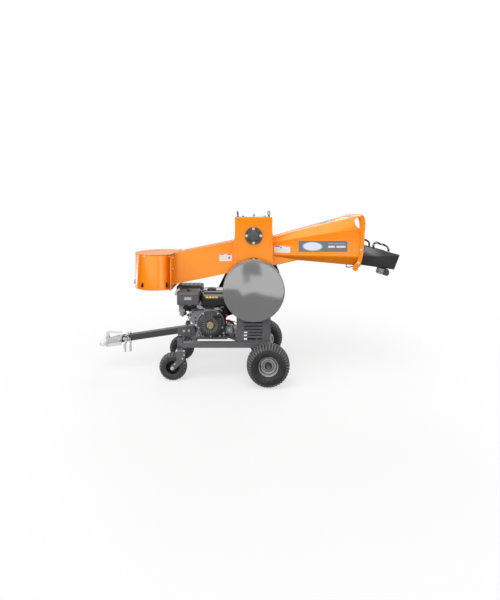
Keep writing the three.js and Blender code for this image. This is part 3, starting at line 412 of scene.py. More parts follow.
def cad(node, mat, bevel=0.0012, segs=2, angle=30):
    """Carried-over CAD node: rounded edges by modifiers, and its material."""
    ob = NODES[node]
    ob.data.materials.clear()
    ob.data.materials.append(mat)
    for p in ob.data.polygons:
        p.material_index = 0
    if bevel:
        w = ob.modifiers.new("weld", "WELD")
        w.merge_threshold = 2e-5
        b = ob.modifiers.new("bevel", "BEVEL")
        b.width, b.segments, b.limit_method = bevel, segs, "ANGLE"
        b.angle_limit = math.radians(angle)
        b.use_clamp_overlap = True
    for p in ob.data.polygons:
        p.use_smooth = False
    return ob


def box_bm(bm, x0, x1, y0, y1, z0, z1, rot=None, about=None, mat=0):
    vs = [bm.verts.new(P(x, y, z)) for x in (x0, x1) for y in (y0, y1) for z in (z0, z1)]
    if rot is not None:
        c = about or P((x0 + x1) / 2, (y0 + y1) / 2, (z0 + z1) / 2)
        for v in vs:
            v.co = c + rot @ (v.co - c)
    for f in ((0, 1, 3, 2), (4, 6, 7, 5), (0, 4, 5, 1), (2, 3, 7, 6), (0, 2, 6, 4), (1, 5, 7, 3)):
        face = bm.faces.new([vs[i] for i in f])
        face.material_index = mat
    return vs


def prism_bm(bm, pts, d0, d1, plane="XZ", mat=0):
    """Outline extruded from d0 to d1 along the remaining axis (layout mm)."""
    def at(a, b, d):
        return {"XZ": P(a, d, b), "XY": P(a, b, d), "YZ": P(d, a, b)}[plane]
    lo = [bm.verts.new(at(a, b, d0)) for a, b in pts]
    hi = [bm.verts.new(at(a, b, d1)) for a, b in pts]
    n = len(pts)
    fs = [bm.faces.new(lo), bm.faces.new(hi[::-1])]
    for i in range(n):
        fs.append(bm.faces.new((lo[i], hi[i], hi[(i + 1) % n], lo[(i + 1) % n])))
    for f in fs:
        f.material_index = mat
    return fs


AX = {"X": (Vector((0, 1, 0)), Vector((0, 0, 1)), Vector((1, 0, 0))), "Y": (Vector((1, 0, 0)), Vector((0, 0, 1)), Vector((0, 1, 0))), "Z": (Vector((1, 0, 0)), Vector((0, 1, 0)), Vector((0, 0, 1)))}


def basis(d):
    d = Vector(d).normalized()
    u = d.orthogonal().normalized()
    return u, d.cross(u), d


def lathe_bm(bm, profile, segs, c, axis="Y", closed=False, mat=0, a0=0.0, arc=None):
    """profile: [(radius mm, distance along the axis mm)]; c: centre in metres."""
    u, v, w = AX[axis] if isinstance(axis, str) else basis(axis)
    rings = []
    n = segs if arc is None else segs + 1
    for r, h in profile:
        if r < 1e-6:
            rings.append([bm.verts.new(c + w * h * 0.001)])
        else:
            rings.append([bm.verts.new(c + (u * math.cos(t) + v * math.sin(t)) * r * 0.001 + w * h * 0.001) for t in (a0 + (arc or 2 * math.pi) * i / segs for i in range(n))])
    pairs = list(zip(rings, rings[1:])) + ([(rings[-1], rings[0])] if closed else [])
    for a, b in pairs:
        for i in range(segs):
            j = (i + 1) % segs if arc is None else i + 1
            if len(a) == 1 and len(b) == 1:
                continue
            if len(a) == 1:
                f = bm.faces.new((a[0], b[i], b[j]))
            elif len(b) == 1:
                f = bm.faces.new((a[i], b[0], a[j]))
            else:
                f = bm.faces.new((a[i], b[i], b[j], a[j]))
            f.material_index = mat
    return rings


def tube_bm(bm, pts, r, sides=10, cyclic=False, cap=True, mat=0, flat=1.0):
    """Round bar through points in metres; r in mm (number or one per point)."""
    n = len(pts)
    tang = []
    for i in range(n):
        a = pts[(i - 1) % n] if (cyclic or i > 0) else pts[i]
        b = pts[(i + 1) % n] if (cyclic or i < n - 1) else pts[i]
        tang.append((b - a).normalized())
    up = tang[0].orthogonal().normalized()
    rings = []
    for i in range(n):
        if i:
            q = tang[i - 1].rotation_difference(tang[i])
            up = (q @ up).normalized()
        side = tang[i].cross(up).normalized()
        rr = (r[i] if isinstance(r, (list, tuple)) else r) * 0.001
        rings.append([bm.verts.new(pts[i] + up * math.cos(t) * rr + side * math.sin(t) * rr * flat) for t in (2 * math.pi * k / sides for k in range(sides))])
    if cyclic:
        # align the last ring's twist with the first
        best = min(range(sides), key=lambda s: (rings[0][0].co - rings[-1][s].co).length)
        rings[-1] = rings[-1]
        pairs = list(zip(rings, rings[1:]))
        last, first = rings[-1], rings[0]
        for a, b in pairs:
            for k in range(sides):
                bm.faces.new((a[k], a[(k + 1) % sides], b[(k + 1) % sides], b[k])).material_index = mat
        for k in range(sides):
            bm.faces.new((last[(k + best) % sides], last[(k + 1 + best) % sides], first[(k + 1) % sides], first[k])).material_index = mat
    else:
        for a, b in zip(rings, rings[1:]):
            for k in range(sides):
                bm.faces.new((a[k], a[(k + 1) % sides], b[(k + 1) % sides], b[k])).material_index = mat
        if cap:
            bm.faces.new(rings[0][::-1]).material_index = mat
            bm.faces.new(rings[-1]).material_index = mat
    return rings


def smooth_path(pts, per=8, cyclic=False):
    """Catmull-Rom through points in metres."""
    out, n = [], len(pts)
    rng = range(n) if cyclic else range(n - 1)
    for i in rng:
        p0 = pts[(i - 1) % n] if (cyclic or i > 0) else pts[0] * 2 - pts[1]
        p1, p2 = pts[i], pts[(i + 1) % n]
        p3 = pts[(i + 2) % n] if (cyclic or i + 2 < n) else pts[-1] * 2 - pts[-2]
        for k in range(per):
            t = k / per
            out.append(0.5 * ((2 * p1) + (p2 - p0) * t + (2 * p0 - 5 * p1 + 4 * p2 - p3) * t * t + (3 * p1 - p0 - 3 * p2 + p3) * t ** 3))
    if not cyclic:
        out.append(pts[-1].copy())
    return out


def fillet_path(pts, r, per=5, cyclic=False):
    """Straight runs with rounded corners; points in metres, r in mm."""
    out, n = [], len(pts)
    for i in range(n):
        if not cyclic and i in (0, n - 1):
            out.append(pts[i].copy())
            continue
        a, b, c = pts[(i - 1) % n], pts[i], pts[(i + 1) % n]
        u, v = (a - b), (c - b)
        k = min(r * 0.001, u.length * 0.49, v.length * 0.49)
        s, e = b + u.normalized() * k, b + v.normalized() * k
        for j in range(per + 1):
            t = j / per
            out.append(s * (1 - t) ** 2 + b * 2 * t * (1 - t) + e * t * t)
    return out


def hex_bolt(bm, c, d, af=13, h=8, washer=9.5, mat=0, dome=True, wt=1.6):
    """Bolt head with a washer; c in metres on the surface, d points out of it."""
    u, v, w = basis(d)
    lathe_bm(bm, [(0, 0), (washer, 0), (washer, wt * 0.8), (washer - 0.4, wt), (0, wt)], 20, c, d, mat=mat)
    r = af / math.sqrt(3)
    lo = [bm.verts.new(c + (u * math.cos(t) + v * math.sin(t)) * r * 0.001 + w * wt * 0.001) for t in (math.pi / 3 * k for k in range(6))]
    hi = [bm.verts.new(x.co + w * (h - 1) * 0.001) for x in lo]
    tp = [bm.verts.new(c + (x.co - c - w * wt * 0.001) * 0.86 + w * (wt + h) * 0.001) for x in lo]
    for i in range(6):
        j = (i + 1) % 6
        bm.faces.new((lo[i], lo[j], hi[j], hi[i])).material_index = mat
        bm.faces.new((hi[i], hi[j], tp[j], tp[i])).material_index = mat
    bm.faces.new(tp).material_index = mat
    bm.faces.new(lo[::-1]).material_index = mat


def dome_bolt(bm, c, d, r=7, h=4.5, mat=0, washer=0):
    prof = [(0, -0.5)] + ([(washer, -0.5), (washer, 1.2), (r, 1.2)] if washer else [(r, -0.5)])
    b = 1.2 if washer else 0
    prof += [(r * math.cos(t), b + h * math.sin(t)) for t in (math.pi / 2 * k / 5 for k in range(5))] + [(0, b + h)]
    lathe_bm(bm, prof, 18, c, d, mat=mat)


def centre_axis_group(name, items, mat, body, **kw):
    bm = bmesh.new()
    for it in items:
        it(bm)
    return obj_from(name, bm, mat, body, **kw)


def apply_now(ob):
    """Bakes an object's modifiers into its mesh."""
    dg = bpy.context.evaluated_depsgraph_get()
    me = bpy.data.meshes.new_from_object(ob.evaluated_get(dg))
    ob.modifiers.clear()
    ob.data = me
    return ob


def cut(bm, *cutters):
    """bm minus closed cutter bmeshes, exact boolean."""
    me = bpy.data.meshes.new("tmp")
    bmesh.ops.recalc_face_normals(bm, faces=bm.faces)
    bm.to_mesh(me)
    bm.free()
    ob = bpy.data.objects.new("tmp", me)
    bpy.context.scene.collection.objects.link(ob)
    tools = []
    for k in cutters:
        km = bpy.data.meshes.new("tmpc")
        bmesh.ops.recalc_face_normals(k, faces=k.faces)
        k.to_mesh(km)
        k.free()
        ko = bpy.data.objects.new("tmpc", km)
        bpy.context.scene.collection.objects.link(ko)
        mod = ob.modifiers.new("b", "BOOLEAN")
        mod.operation, mod.object, mod.solver = "DIFFERENCE", ko, "EXACT"
        tools.append(ko)
    bpy.context.view_layer.update()
    apply_now(ob)
    out = bmesh.new()
    out.from_mesh(ob.data)
    for o in tools + [ob]:
        bpy.data.objects.remove(o)
    return out


NEAR, FAR = Vector((0, -1, 0)), Vector((0, 1, 0))
LEFT, RIGHT = Vector((-1, 0, 0)), Vector((1, 0, 0))
UP, DOWN = Vector((0, 0, 1)), Vector((0, 0, -1))


# ---------------------------------------------------------------- running gear
def lug(bm, c, path, hw, depth, mat=0):
    rows, n = [], len(path)
    for i, (r, y, a) in enumerate(path):
        p0, p1 = path[max(i - 1, 0)], path[min(i + 1, n - 1)]
        dr, dy = p1[0] - p0[0], p1[1] - p0[1]
        ln = math.hypot(dr, dy) or 1
        nr, ny = dy / ln, -dr / ln
        if nr < 0:
            nr, ny = -nr, -ny
        row = []
        for s in (-1, 1):
            for k in (0, 1):
                rr, yy = r - nr * depth * k, y - ny * depth * k
                t = a + s * hw * (1 + 0.3 * k)
                row.append(bm.verts.new(c + Vector((rr * math.cos(t), yy, rr * math.sin(t))) * 0.001))
        rows.append(row)
    for a, b in zip(rows, rows[1:]):
        for i, j in ((0, 2), (1, 0), (2, 3)):
            bm.faces.new((a[i], a[j], b[j], b[i])).material_index = mat
    bm.faces.new((rows[0][1], rows[0][3], rows[0][2], rows[0][0])).material_index = mat
    bm.faces.new((rows[-1][0], rows[-1][2], rows[-1][3], rows[-1][1])).material_index = mat


def tyre(node, body, R, W, bead, lugs, hw, depth, rib):
    c = centre(node)
    h = W / 2
    k = R - bead
    side = [(bead, 0.60 if R > 120 else 0.72), (bead + k * 0.03, 0.72 if R > 120 else 0.83), (bead + k * 0.09, 0.81 if R > 120 else 0.875), (bead + k * 0.13, 0.83 if R > 120 else 0.86), (bead + k * 0.16, 0.89 if R > 120 else 0.905), (bead + k * 0.24, 0.95), (bead + k * 0.27, 0.935),
            (bead + k * 0.31, 0.955), (bead + k * 0.42, 0.985), (bead + k * 0.45, 0.965), (bead + k * 0.50, 0.955), (bead + k * 0.62, 0.915), (bead + k * 0.73, 0.83), (bead + k * 0.82, 0.70), (bead + k * 0.89, 0.52), (R - depth, 0.30)]
    prof = [(r, -f * h) for r, f in side] + [(R - depth * 0.82, 0)] + [(r, f * h) for r, f in side[::-1]]
    prof += [(R - depth - 10, 0.4 * h), (R - depth - 22, 0.68 * h), (R - depth - 22, -0.68 * h), (R - depth - 10, -0.4 * h)]
    bm = bmesh.new()
    lathe_bm(bm, prof, 112, c, "Y", closed=True)
    for i in range(lugs):
        a = 2 * math.pi * i / lugs
        for s in (-1, 1):
            b = a + (0.5 if s > 0 else 0) * 2 * math.pi / lugs
            lug(bm, c, [(R, s * h * 0.04, b - 0.02), (R - k * 0.015, s * h * 0.32, b + 0.012), (R - k * 0.075, s * h * 0.58, b + 0.03), (R - k * 0.15, s * h * 0.77, b + 0.04), (R - k * 0.26, s * h * 0.91, b + 0.047), (R - k * 0.36, s * h * 0.965, b + 0.05)], hw, depth * 1.15, mat=1)
    carcass = TYRE if R > 120 else TYRE_SMALL
    # the lugs take the paler rubber: painted highlight
    return obj_from(node + "_tread", bm, carcass, body, node, angle=32, slot="tyre_rubber", mats=[carcass, TYRE_LUG_LIT])


tyre("rear_tyre_near", "rear_wheel_near", 165, 127, 75, 42, 0.036, 9, 5)
tyre("rear_tyre_far", "rear_wheel_far", 165, 127, 75, 42, 0.036, 9, 5)
tyre("front_tyre_near", "front_wheel_near", 110, 65, 51, 24, 0.062, 7, 4)
tyre("front_tyre_far", "front_wheel_far", 110, 65, 51, 24, 0.062, 7, 4)

for side, s in (("near", -1), ("far", 1)):
    body = "rear_wheel_" + side
    c = centre("rear_rim_" + side)
    bm = bmesh.new()
    outer = [(80.5, 28), (80.0, 32), (76.5, 36), (75.5, 40), (73.5, 42), (71.0, 41), (69.5, 36), (68.6, 28), (68.0, 22), (66, 16.5), (60.5, 16), (59, 20), (57.8, 28), (55.4, 32.5), (51.5, 33.5), (48.2, 32), (46.2, 26), (44.4, 18.5), (40, 17), (26, 17)]
    inner = [(26, 12), (44, 12), (50, 26), (56, 26), (58, 12), (68, 9), (71, -30), (72, -40), (76, -51), (80, -52.5), (81.5, -50), (80, -46), (76, -40), (75.2, -30), (75.2, 40)]
    lathe_bm(bm, [(r, s * y) for r, y in outer + inner], 96, c, "Y", closed=True)
    # valve stem
    v = c + Vector((-0.058, s * 0.026, 0.006))
    rim = obj_from("rear_rim_disc_" + side, bm, WHEEL_STEEL, body, "rear_rim_" + side, angle=38, slot="wheel_steel")
    bm = bmesh.new()
    lathe_bm(bm, [(r, s * y) for r, y in [(0, 16.5), (28, 16.5), (28.5, 27), (27.2, 30), (25, 31), (23.6, 29.4), (21.8, 29), (20.4, 30), (19.4, 37), (18.6, 47), (16.8, 53), (13.5, 55), (0, 55.6)]], 64, c, "Y")
    lathe_bm(bm, [(0, 0), (5.5, 0), (5.5, 3), (3.6, 5), (3.6, 24), (4.2, 24), (4.2, 33), (0, 34)], 16, v, s * FAR)
    obj_from("rear_hub_" + side, bm, PLASTIC, body, angle=30, slot="black_plastic")
    # dark rings laid in the two grooves of the dish: painted shade
    bm = bmesh.new()
    for r0, r1, y0 in ((60.7, 66.6, 16.3), (40.2, 44.6, 17.2)):
        lathe_bm(bm, [(r, s * y) for r, y in [(r0, y0), (r1, y0), (r1 + 0.6, y0 + 1.6), (r0 - 0.4, y0 + 1.6)]], 72, c, "Y", closed=True)
    obj_from("rear_rim_groove_shade_" + side, bm, PLASTIC, body, angle=30)
    # inner hub tube
    bm = bmesh.new()
    lathe_bm(bm, [(r, s * y) for r, y in [(14, -54), (27, -54), (27, 13), (14, 13)]], 40, c, "Y", closed=True)
    obj_from("rear_hub_tube_" + side, bm, WHEEL_STEEL, body, angle=30)

    body = "front_wheel_" + side
    c = centre("front_rim_" + side)
    bm = bmesh.new()
    half = [(52.5, 24), (53, 26.5), (51.5, 28), (49.5, 27.5), (48, 22), (46.5, 12), (43, 7), (36, 5.2), (27, 5), (21, 6), (18.5, 9), (18, 30), (16.5, 31.5), (9.5, 31.5)]
    lathe_bm(bm, half + [(9.5, -31.5), (16.5, -31.5), (18, -30), (18.5, -9), (21, -6), (27, -5), (36, -5.2), (43, -7), (46.5, -12), (48, -22), (49.5, -27.5), (51.5, -28), (53, -26.5), (52.5, -24), (50, -20), (50, 20)], 72, c, "Y", closed=True)
    for k in range(6):
        a = math.pi / 3 * k
        o = c + Vector((math.cos(a) * 0.032, 0, math.sin(a) * 0.032))
        for t in (-1, 1):
            dome_bolt(bm, o + Vector((0, t * 0.0051, 0)), Vector((0, t, 0)), 4.2, 2.6)
    obj_from("front_rim_disc_" + side, bm, BLACK_PAINT, body, "front_rim_" + side, angle=38, slot="black_paint")
    # axle nuts and plate bolts of the fork
    cb = "caster_" + side
    bm = bmesh.new()
    for t in (-1, 1):
        hex_bolt(bm, c + Vector((0, t * 0.0435, 0)), Vector((0, t, 0)), 17, 9, 13, wt=2)
        for bx, bz in ((-655, 213), (-668, 186), (-729, 143)):
            dome_bolt(bm, P(bx, s * 185 + t * 43.3, bz), Vector((0, t, 0)), 4.4, 2.6, washer=6.4)
    sw = P(-694, s * 185, 0)
    for dx in (-22, 34):
        for dy in (-30, 30):
            hex_bolt(bm, sw + Vector((dx * 0.001, dy * 0.001, 0.2395)), UP, 10, 6, 8.5)
    obj_from("caster_hardware_" + side, bm, BOLT, cb, slot="bright_steel")

for n in ("caster_fork_near", "caster_fork_far"):
    cad(n, GREY, 0.0014)

# swivel caps, castings and bearings on top of the posts (fixed to the frame)
bm = bmesh.new()
for s in (-1, 1):
    c = P(-694, s * 185, 341)
    lathe_bm(bm, [(0, -1), (20, -1), (20, 2.5), (16, 4), (16, 8), (13, 10.5), (0, 11)], 32, c, "Z")
obj_from("swivel_caps", bm, BLACK_PAINT, "machine", bevel=0, angle=30)
bm = bmesh.new()
for s in (-1, 1):
    c = P(-694, s * 185, 241)
    lathe_bm(bm, [(13.5, -0.5), (26, -0.5), (26, -1), (28.5, -1), (28.5, 3), (26, 4), (22, 4)], 40, c, "Z")
obj_from("swivel_collars", bm, ZINC, "machine", angle=30)

# the drawbar takes the darker grey copy: painted shade
for n, m in (("chassis_frame", GREY), ("axle_beam", GREY), ("drawbar_tube", BAR_GREY_SHADED), ("pedestal", GREY)):
    cad(n, m, 0.0016)

# weld beads where tubes meet
bm = bmesh.new()


def weld(a, b, r=3.2):
    n = max(4, int((b - a).length / 0.004))
    pts, rad = [], []
    for i in range(n + 1):
        pts.append(a.lerp(b, i / n))
        rad.append(r * (0.82 + 0.2 * abs(math.sin(i * 1.9))))
    tube_bm(bm, pts, rad, 7)


for s in (-1, 1):
    for x0, x1 in ((-606, -576), (-262, -232), (0, 40)):
        y = s * 165
        for x in (x0, x1):
            weld(P(x, y, 263), P(x, y, 299))
        weld(P(x0, y, 301), P(x1, y, 301), 2.6)
    y = s * 165
    weld(P(-674, y, 263), P(-674, y, 299))
    for yy in (s * 165, s * 205):
        weld(P(-675, yy, 262), P(-675, yy, 300), 2.6)
    weld(P(-146, s * 166.5, 261), P(38, s * 166.5, 261), 2.8)
    weld(P(-20, s * 167, 184), P(20, s * 167, 184), 2.6)
weld(P(-745, -26, barz := 300 + (-745 + 1135) * 0.1495 - 3.0), P(-612, -26, 300 + (-612 + 1135) * 0.1495 - 3.0), 2.4)
obj_from("weld_beads", bm, GREY, "machine", angle=60, slot="grey_paint")

# end caps of the square rails
bm = bmesh.new()
for s in (-1, 1):
    box_bm(bm, 38.5, 43, s * 185 - 19, s * 185 + 19, 262.5, 299.5)
    # tow loop at the rear of the rail
obj_from("rail_end_caps", bm, PLASTIC, "machine", bevel=0.0015)
bm = bmesh.new()
for s in (-1, 1):
    tube_bm(bm, smooth_path([P(20, s * 203, 300), P(23, s * 206, 340), P(29, s * 207, 362), P(40, s * 207, 358), P(46, s * 207, 332), P(42, s * 206, 306), P(32, s * 204, 296)], 6), 3.2, 10)
obj_from("rail_end_loops", bm, ZINC, "machine", angle=60)

# ---------------------------------------------------------------- drawbar, coupler, chains
COUPLER = painted("bright_zinc_plating", rgb(226, 227, 229), 0.3, 0.15, 0.1, 0.1, 0.5, rgb(240, 240, 240), 0.5)
CHAIN = painted("bright_chain_plating", rgb(226, 228, 230), 0.3, 0.15, 0.1, 0.12, 0.3)
bm = bmesh.new()
# pressed channel: upper skin lofted from neck to dome
secs = []
for x, hw, zb, zt in ((-1217, 29, 230, 289), (-1240, 30, 229, 287), (-1268, 31, 225, 281), (-1296, 31, 219, 273), (-1322, 32, 213, 266), (-1345, 36, 209, 264)):
    ring = []
    m = 12
    for i in range(m + 1):
        t = i / m
        a = math.pi * t
        # rounded arch over the channel
        yy = -hw * math.cos(a)
        zz = zb + (zt - zb) * min(1.0, (math.sin(a) * 1.22) ** 0.5 if math.sin(a) > 0 else 0)
        ring.append((x, yy, zz))
    secs.append(ring)
grid = [[bm.verts.new(P(*p)) for p in r] for r in secs]
for a, b in zip(grid, grid[1:]):
    for i in range(len(a) - 1):
        bm.faces.new((a[i], a[i + 1], b[i + 1], b[i]))
sk = bmesh.ops.solidify(bm, geom=bm.faces[:], thickness=0.003)
# dome of the socket with its rolled foot
lathe_bm(bm, [(0, 41.5)] + [(41.5 * math.sin(t), 41.5 * math.cos(t)) for t in (math.pi / 2 * k / 10 for k in range(1, 10))] + [(42, 2), (42, -11), (45.5, -13.5), (45.5, -15), (39, -15), (38, -10), (38, 0), (30, 26), (0, 37)], 48, P(-1366, 0, 222), "Z")
# side lips
for s in (-1, 1):
    box_bm(bm, -1345, -1217, s * 31 - 2, s * 31 + 2, 207, 232, Matrix.Rotation(math.radians(-7), 3, "Y"))
# lever ears
for s in (-1, 1):
    prism_bm(bm, [(-1362, 250), (-1328, 250), (-1332, 282), (-1345, 291), (-1357, 284)], s * 9, s * 13)
obj_from("coupler_pressing", bm, COUPLER, "machine", "coupler_body", bevel=0.0009, angle=40, slot="bright_steel")
bm = bmesh.new()
hex_bolt(bm, P(-1345, -13.4, 281), NEAR, 11, 6, 8)
hex_bolt(bm, P(-1345, 13.4, 281), FAR, 11, 6, 8)
for x in (-1232, -1196):
    hex_bolt(bm, P(x, -29.5 if x < -1217 else -25.4, 262 if x < -1217 else 266), NEAR, 17, 9, 12)
    hex_bolt(bm, P(x, 29.5 if x < -1217 else 25.4, 262 if x < -1217 else 266), FAR, 17, 9, 12)
# jaw adjuster under the socket
hex_bolt(bm, P(-1310, 0, 214), DOWN, 13, 9, 10)
obj_from("coupler_bolts", bm, BOLT, "machine", slot="bright_steel")
# latch lever: bent strap with a raised loop grip
bm = bmesh.new()
for s in (-1, 1):
    prism_bm(bm, [(-1355, 274), (-1335, 274), (-1335, 292), (-1330, 306), (-1318, 309), (-1236, 305), (-1236, 317), (-1320, 322), (-1344, 322), (-1354, 310)], s * 8, s * 5)
tube_bm(bm, smooth_path([P(-1300, 0, 315), P(-1270, 0, 313), P(-1240, 0, 311), P(-1232, 0, 313), P(-1228, 0, 318)], 5), 6, 12)
box_bm(bm, -1350, -1240, -7, 7, 315, 319, Matrix.Rotation(math.radians(2.5), 3, "Y"))
obj_from("coupler_latch", bm, COUPLER, "latch", "coupler_lever", bevel=0.0008, slot="bright_steel")


def chain(name, pts, link=30, wire=4.2, cyclic=False, mat=None):
    """Welded links along a path in metres."""
    path = smooth_path(pts, 40, cyclic)
    dist = [0.0]
    for a, b in zip(path, path[1:]):
        dist.append(dist[-1] + (b - a).length)
    step = (link - 2 * wire) * 0.001 * 0.94
    n = int(dist[-1] / step)
    bm = bmesh.new()

    def at(d):
        d = max(0, min(dist[-1] - 1e-9, d))
        lo, hi = 0, len(dist) - 1
        while hi - lo > 1:
            m = (lo + hi) // 2
            lo, hi = (m, hi) if dist[m] <= d else (lo, m)
        t = (d - dist[lo]) / max(1e-9, dist[hi] - dist[lo])
        return path[lo].lerp(path[hi], t)

    for i in range(n):
        p, q = at((i - 0.1) * step), at((i + 1.1) * step)
        c, d = (p + q) / 2, (q - p).normalized()
        side = d.cross(Vector((0.3, 0.8, 0.52))).normalized()
        if i % 2:
            side = side.cross(d).normalized()
        half, rad = (link / 2 - wire - 4.6) * 0.001, 0.0066 + 0.0
        ring = []
        for k in range(9):
            a = -math.pi / 2 + math.pi * k / 8
            ring.append(c + d * (half + rad * math.cos(a)) + side * rad * math.sin(a))
        for k in range(9):
            a = math.pi / 2 + math.pi * k / 8
            ring.append(c + d * (-half + rad * math.cos(a)) + side * rad * math.sin(a))
        tube_bm(bm, ring, wire * 0.5, 7, cyclic=True)
    return obj_from(name, bm, mat or CHAIN, "machine", angle=70)


c1 = chain("safety_chain_links", [P(-1180, -33, 292), P(-1176, -18, 305), P(-1174, 0, 307), P(-1176, 20, 304), P(-1182, 35, 288), P(-1198, 36, 240), P(-1202, 22, 180), P(-1196, 4, 156), P(-1188, -18, 162), P(-1192, -34, 212), P(-1174, -37, 262), P(-1179, -34, 290)], 29, 4.6)
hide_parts("safety_chain")
c2 = chain("safety_chain_links_b", [P(-1164, -34, 286), P(-1150, -36, 262), P(-1136, -36, 214), P(-1140, -26, 172), P(-1152, -8, 156), P(-1160, 12, 170), P(-1158, 30, 214), P(-1160, 36, 262), P(-1158, 32, 292), P(-1158, 10, 309), P(-1162, -16, 308), P(-1164, -33, 290)], 29, 4.6)
bm = bmesh.new()
for y, x, z in ((-34, -1176, 262), (-34, -1150, 262)):
    ring = []
    for k in range(16):
        a = 2 * math.pi * k / 16
        ring.append(P(x + 9 * math.cos(a), y - 2, z + 15 * math.sin(a)))
    tube_bm(bm, ring, 2.8, 8, cyclic=True)
obj_from("chain_hooks", bm, BOLT, "machine", angle=60)

# bracket bolts of the drawbar and the locking knob
bm = bmesh.new()
for x, z in ((-690.5, 333), (-650, 336)):
    hex_bolt(bm, P(x, -31.4, z), NEAR, 15, 8, 10.5)
    hex_bolt(bm, P(x, 31.4, z), FAR, 15, 8, 10.5)
obj_from("drawbar_bolts", bm, BOLT, "machine", slot="bright_steel")
bm = bmesh.new()
kz = 300 + (-668 + 1135) * 0.1495
lathe_bm(bm, [(0, 0), (4, 0), (4, 6), (8, 8), (10, 11), (10, 16), (8, 19), (0, 20)], 24, P(-668, 0, kz), "Z")
lathe_bm(bm, [(0, 0), (6, 0), (6, 5), (10, 7), (11, 12), (8, 16), (0, 17)], 20, P(-700, -207, 272), NEAR)
obj_from("knobs_black", bm, PLASTIC, "machine", angle=32)


# ---------------------------------------------------------------- drive line
def ring_pts(cx, cz, r, n, a0=0.0, a1=2 * math.pi):
    return [(cx + r * math.cos(a0 + (a1 - a0) * i / n), cz + r * math.sin(a0 + (a1 - a0) * i / n)) for i in range(n + (0 if abs(a1 - a0 - 2 * math.pi) < 1e-6 else 1))]


SX = -109
GC = P(SX, 0, 715)
bm = bmesh.new()
prof = [(0.0, -240.2)]
for r in (20, 40, 60, 80, 100, 120, 140, 160, 180, 200, 214, 226, 234):
    prof.append((r, -240.2 + 0.9 * (r / 225) ** 2))
for k in range(1, 9):
    t = math.pi / 2 * k / 8
    prof.append((236 + 7 * math.sin(t), -239.0 + 8 * (1 - math.cos(t))))
prof += [(243, -186), (244.5, -184.6), (244.5, -183), (240.5, -183), (240.2, -228), (237, -234), (230, -236), (0, -237)]
lathe_bm(bm, prof, 160, GC, "Y")
guard = obj_from("flywheel_guard_shell", bm, GUARD, "machine", "flywheel_guard", angle=30, slot="guard_paint")
bm = bmesh.new()
for s in (-1, 1):
    box_bm(bm, SX + s * 124 - 12, SX + s * 124 + 12, -187, -170.2, 715 - 208, 715 - 205)
    box_bm(bm, SX + s * 124 - 12, SX + s * 124 + 12, -187, -184, 715 - 222, 715 - 196)
    box_bm(bm, SX + s * 124 - 12, SX + s * 124 + 12, -173.4, -170.2, 715 - 208, 715 - 186)
    box_bm(bm, SX + s * 116 - 12, SX + s * 116 + 12, -187, -150.3, 715 + 200, 715 + 203)
    box_bm(bm, SX + s * 116 - 12, SX + s * 116 + 12, -187, -184, 715 + 190, 715 + 216)
    box_bm(bm, SX + s * 116 - 12, SX + s * 116 + 12, -153.4, -150.3, 715 + 184, 715 + 203)
obj_from("flywheel_guard_lugs", bm, GUARD, "machine", bevel=0.0012, slot="guard_paint")

cad("belt_guard", BLACK_PAINT, 0.004, 3)
cad("drive_belt", BELT, 0.0)
for n in ("jackshaft", "timing_gear_lower", "timing_gear_upper"):
    cad(n, BOLT, 0.0008)
for n in ("flywheel", "driven_pulley", "crank_pulley", "lower_rotor", "upper_rotor", "far_bearing_plate", "jackshaft_bearing_near", "jackshaft_bearing_far"):
    cad(n, IRON, 0.0014)
# belt guard fixings and a vent grille on its flat face
bm = bmesh.new()
for x, z in ((-336, 660), (-12, 512), (-222, 912), (48, 880), (-468, 386), (-505, 452), (-420, 560), (-330, 442)):
    hex_bolt(bm, P(x, 228, z), FAR, 10, 6, 9)
obj_from("belt_guard_bolts", bm, BOLT, "machine")
bm = bmesh.new()
for k in range(9):
    w = 74 - abs(k - 4) * 9
    prism_bm(bm, [(SX - w, 715 - 72 + k * 18), (SX + w, 715 - 72 + k * 18), (SX + w - 4, 715 - 66 + k * 18), (SX - w + 4, 715 - 66 + k * 18)], 227.5, 231)
for k in range(5):
    w = 34 - abs(k - 2) * 8
    prism_bm(bm, [(-455 - w, 435 - 28 + k * 14), (-455 + w, 435 - 28 + k * 14), (-455 + w - 3, 435 - 23 + k * 14), (-455 - w + 3, 435 - 23 + k * 14)], 227.5, 230.5)
obj_from("belt_guard_louvres", bm, BLACK_PAINT, "machine", bevel=0.001)

# ---------------------------------------------------------------- cutter box
cad("cutter_box", ORANGE, 0.003, 3)
cad("cutter_box_cover", COVER, 0.0012)
bm = bmesh.new()
# folded flanges at the infeed and discharge ends of the box
for y0, y1 in ((-153, -150), (150, 153)):
    prism_bm(bm, [(-262, 836), (-244, 836), (-244, 1126), (-262, 1126)], y0, y1)
    prism_bm(bm, [(26, 890), (45, 890), (45, 1163), (26, 1163)], y0, y1)
obj_from("cutter_box_flanges", bm, ORANGE, "machine", bevel=0.0013, slot="orange_paint")
bm = bmesh.new()
for z in (868, 950, 1032, 1104):
    for t in (-1, 1):
        dome_bolt(bm, P(-253.5, t * 153, z), Vector((0, t, 0)), 3.4, 1.8, washer=4.6)
for z in (916, 986, 1056, 1136):
    for t in (-1, 1):
        dome_bolt(bm, P(36.5, t * 153, z), Vector((0, t, 0)), 3.4, 1.8, washer=4.6)
obj_from("cutter_box_rivets", bm, ORANGE, "machine", angle=35, slot="orange_paint")
bm = bmesh.new()
for x in (-250, -150, -20, 30):
    for y in (-134, 134):
        dome_bolt(bm, P(x, y, 1293.2), UP, 4.6, 2.2, washer=6.4)
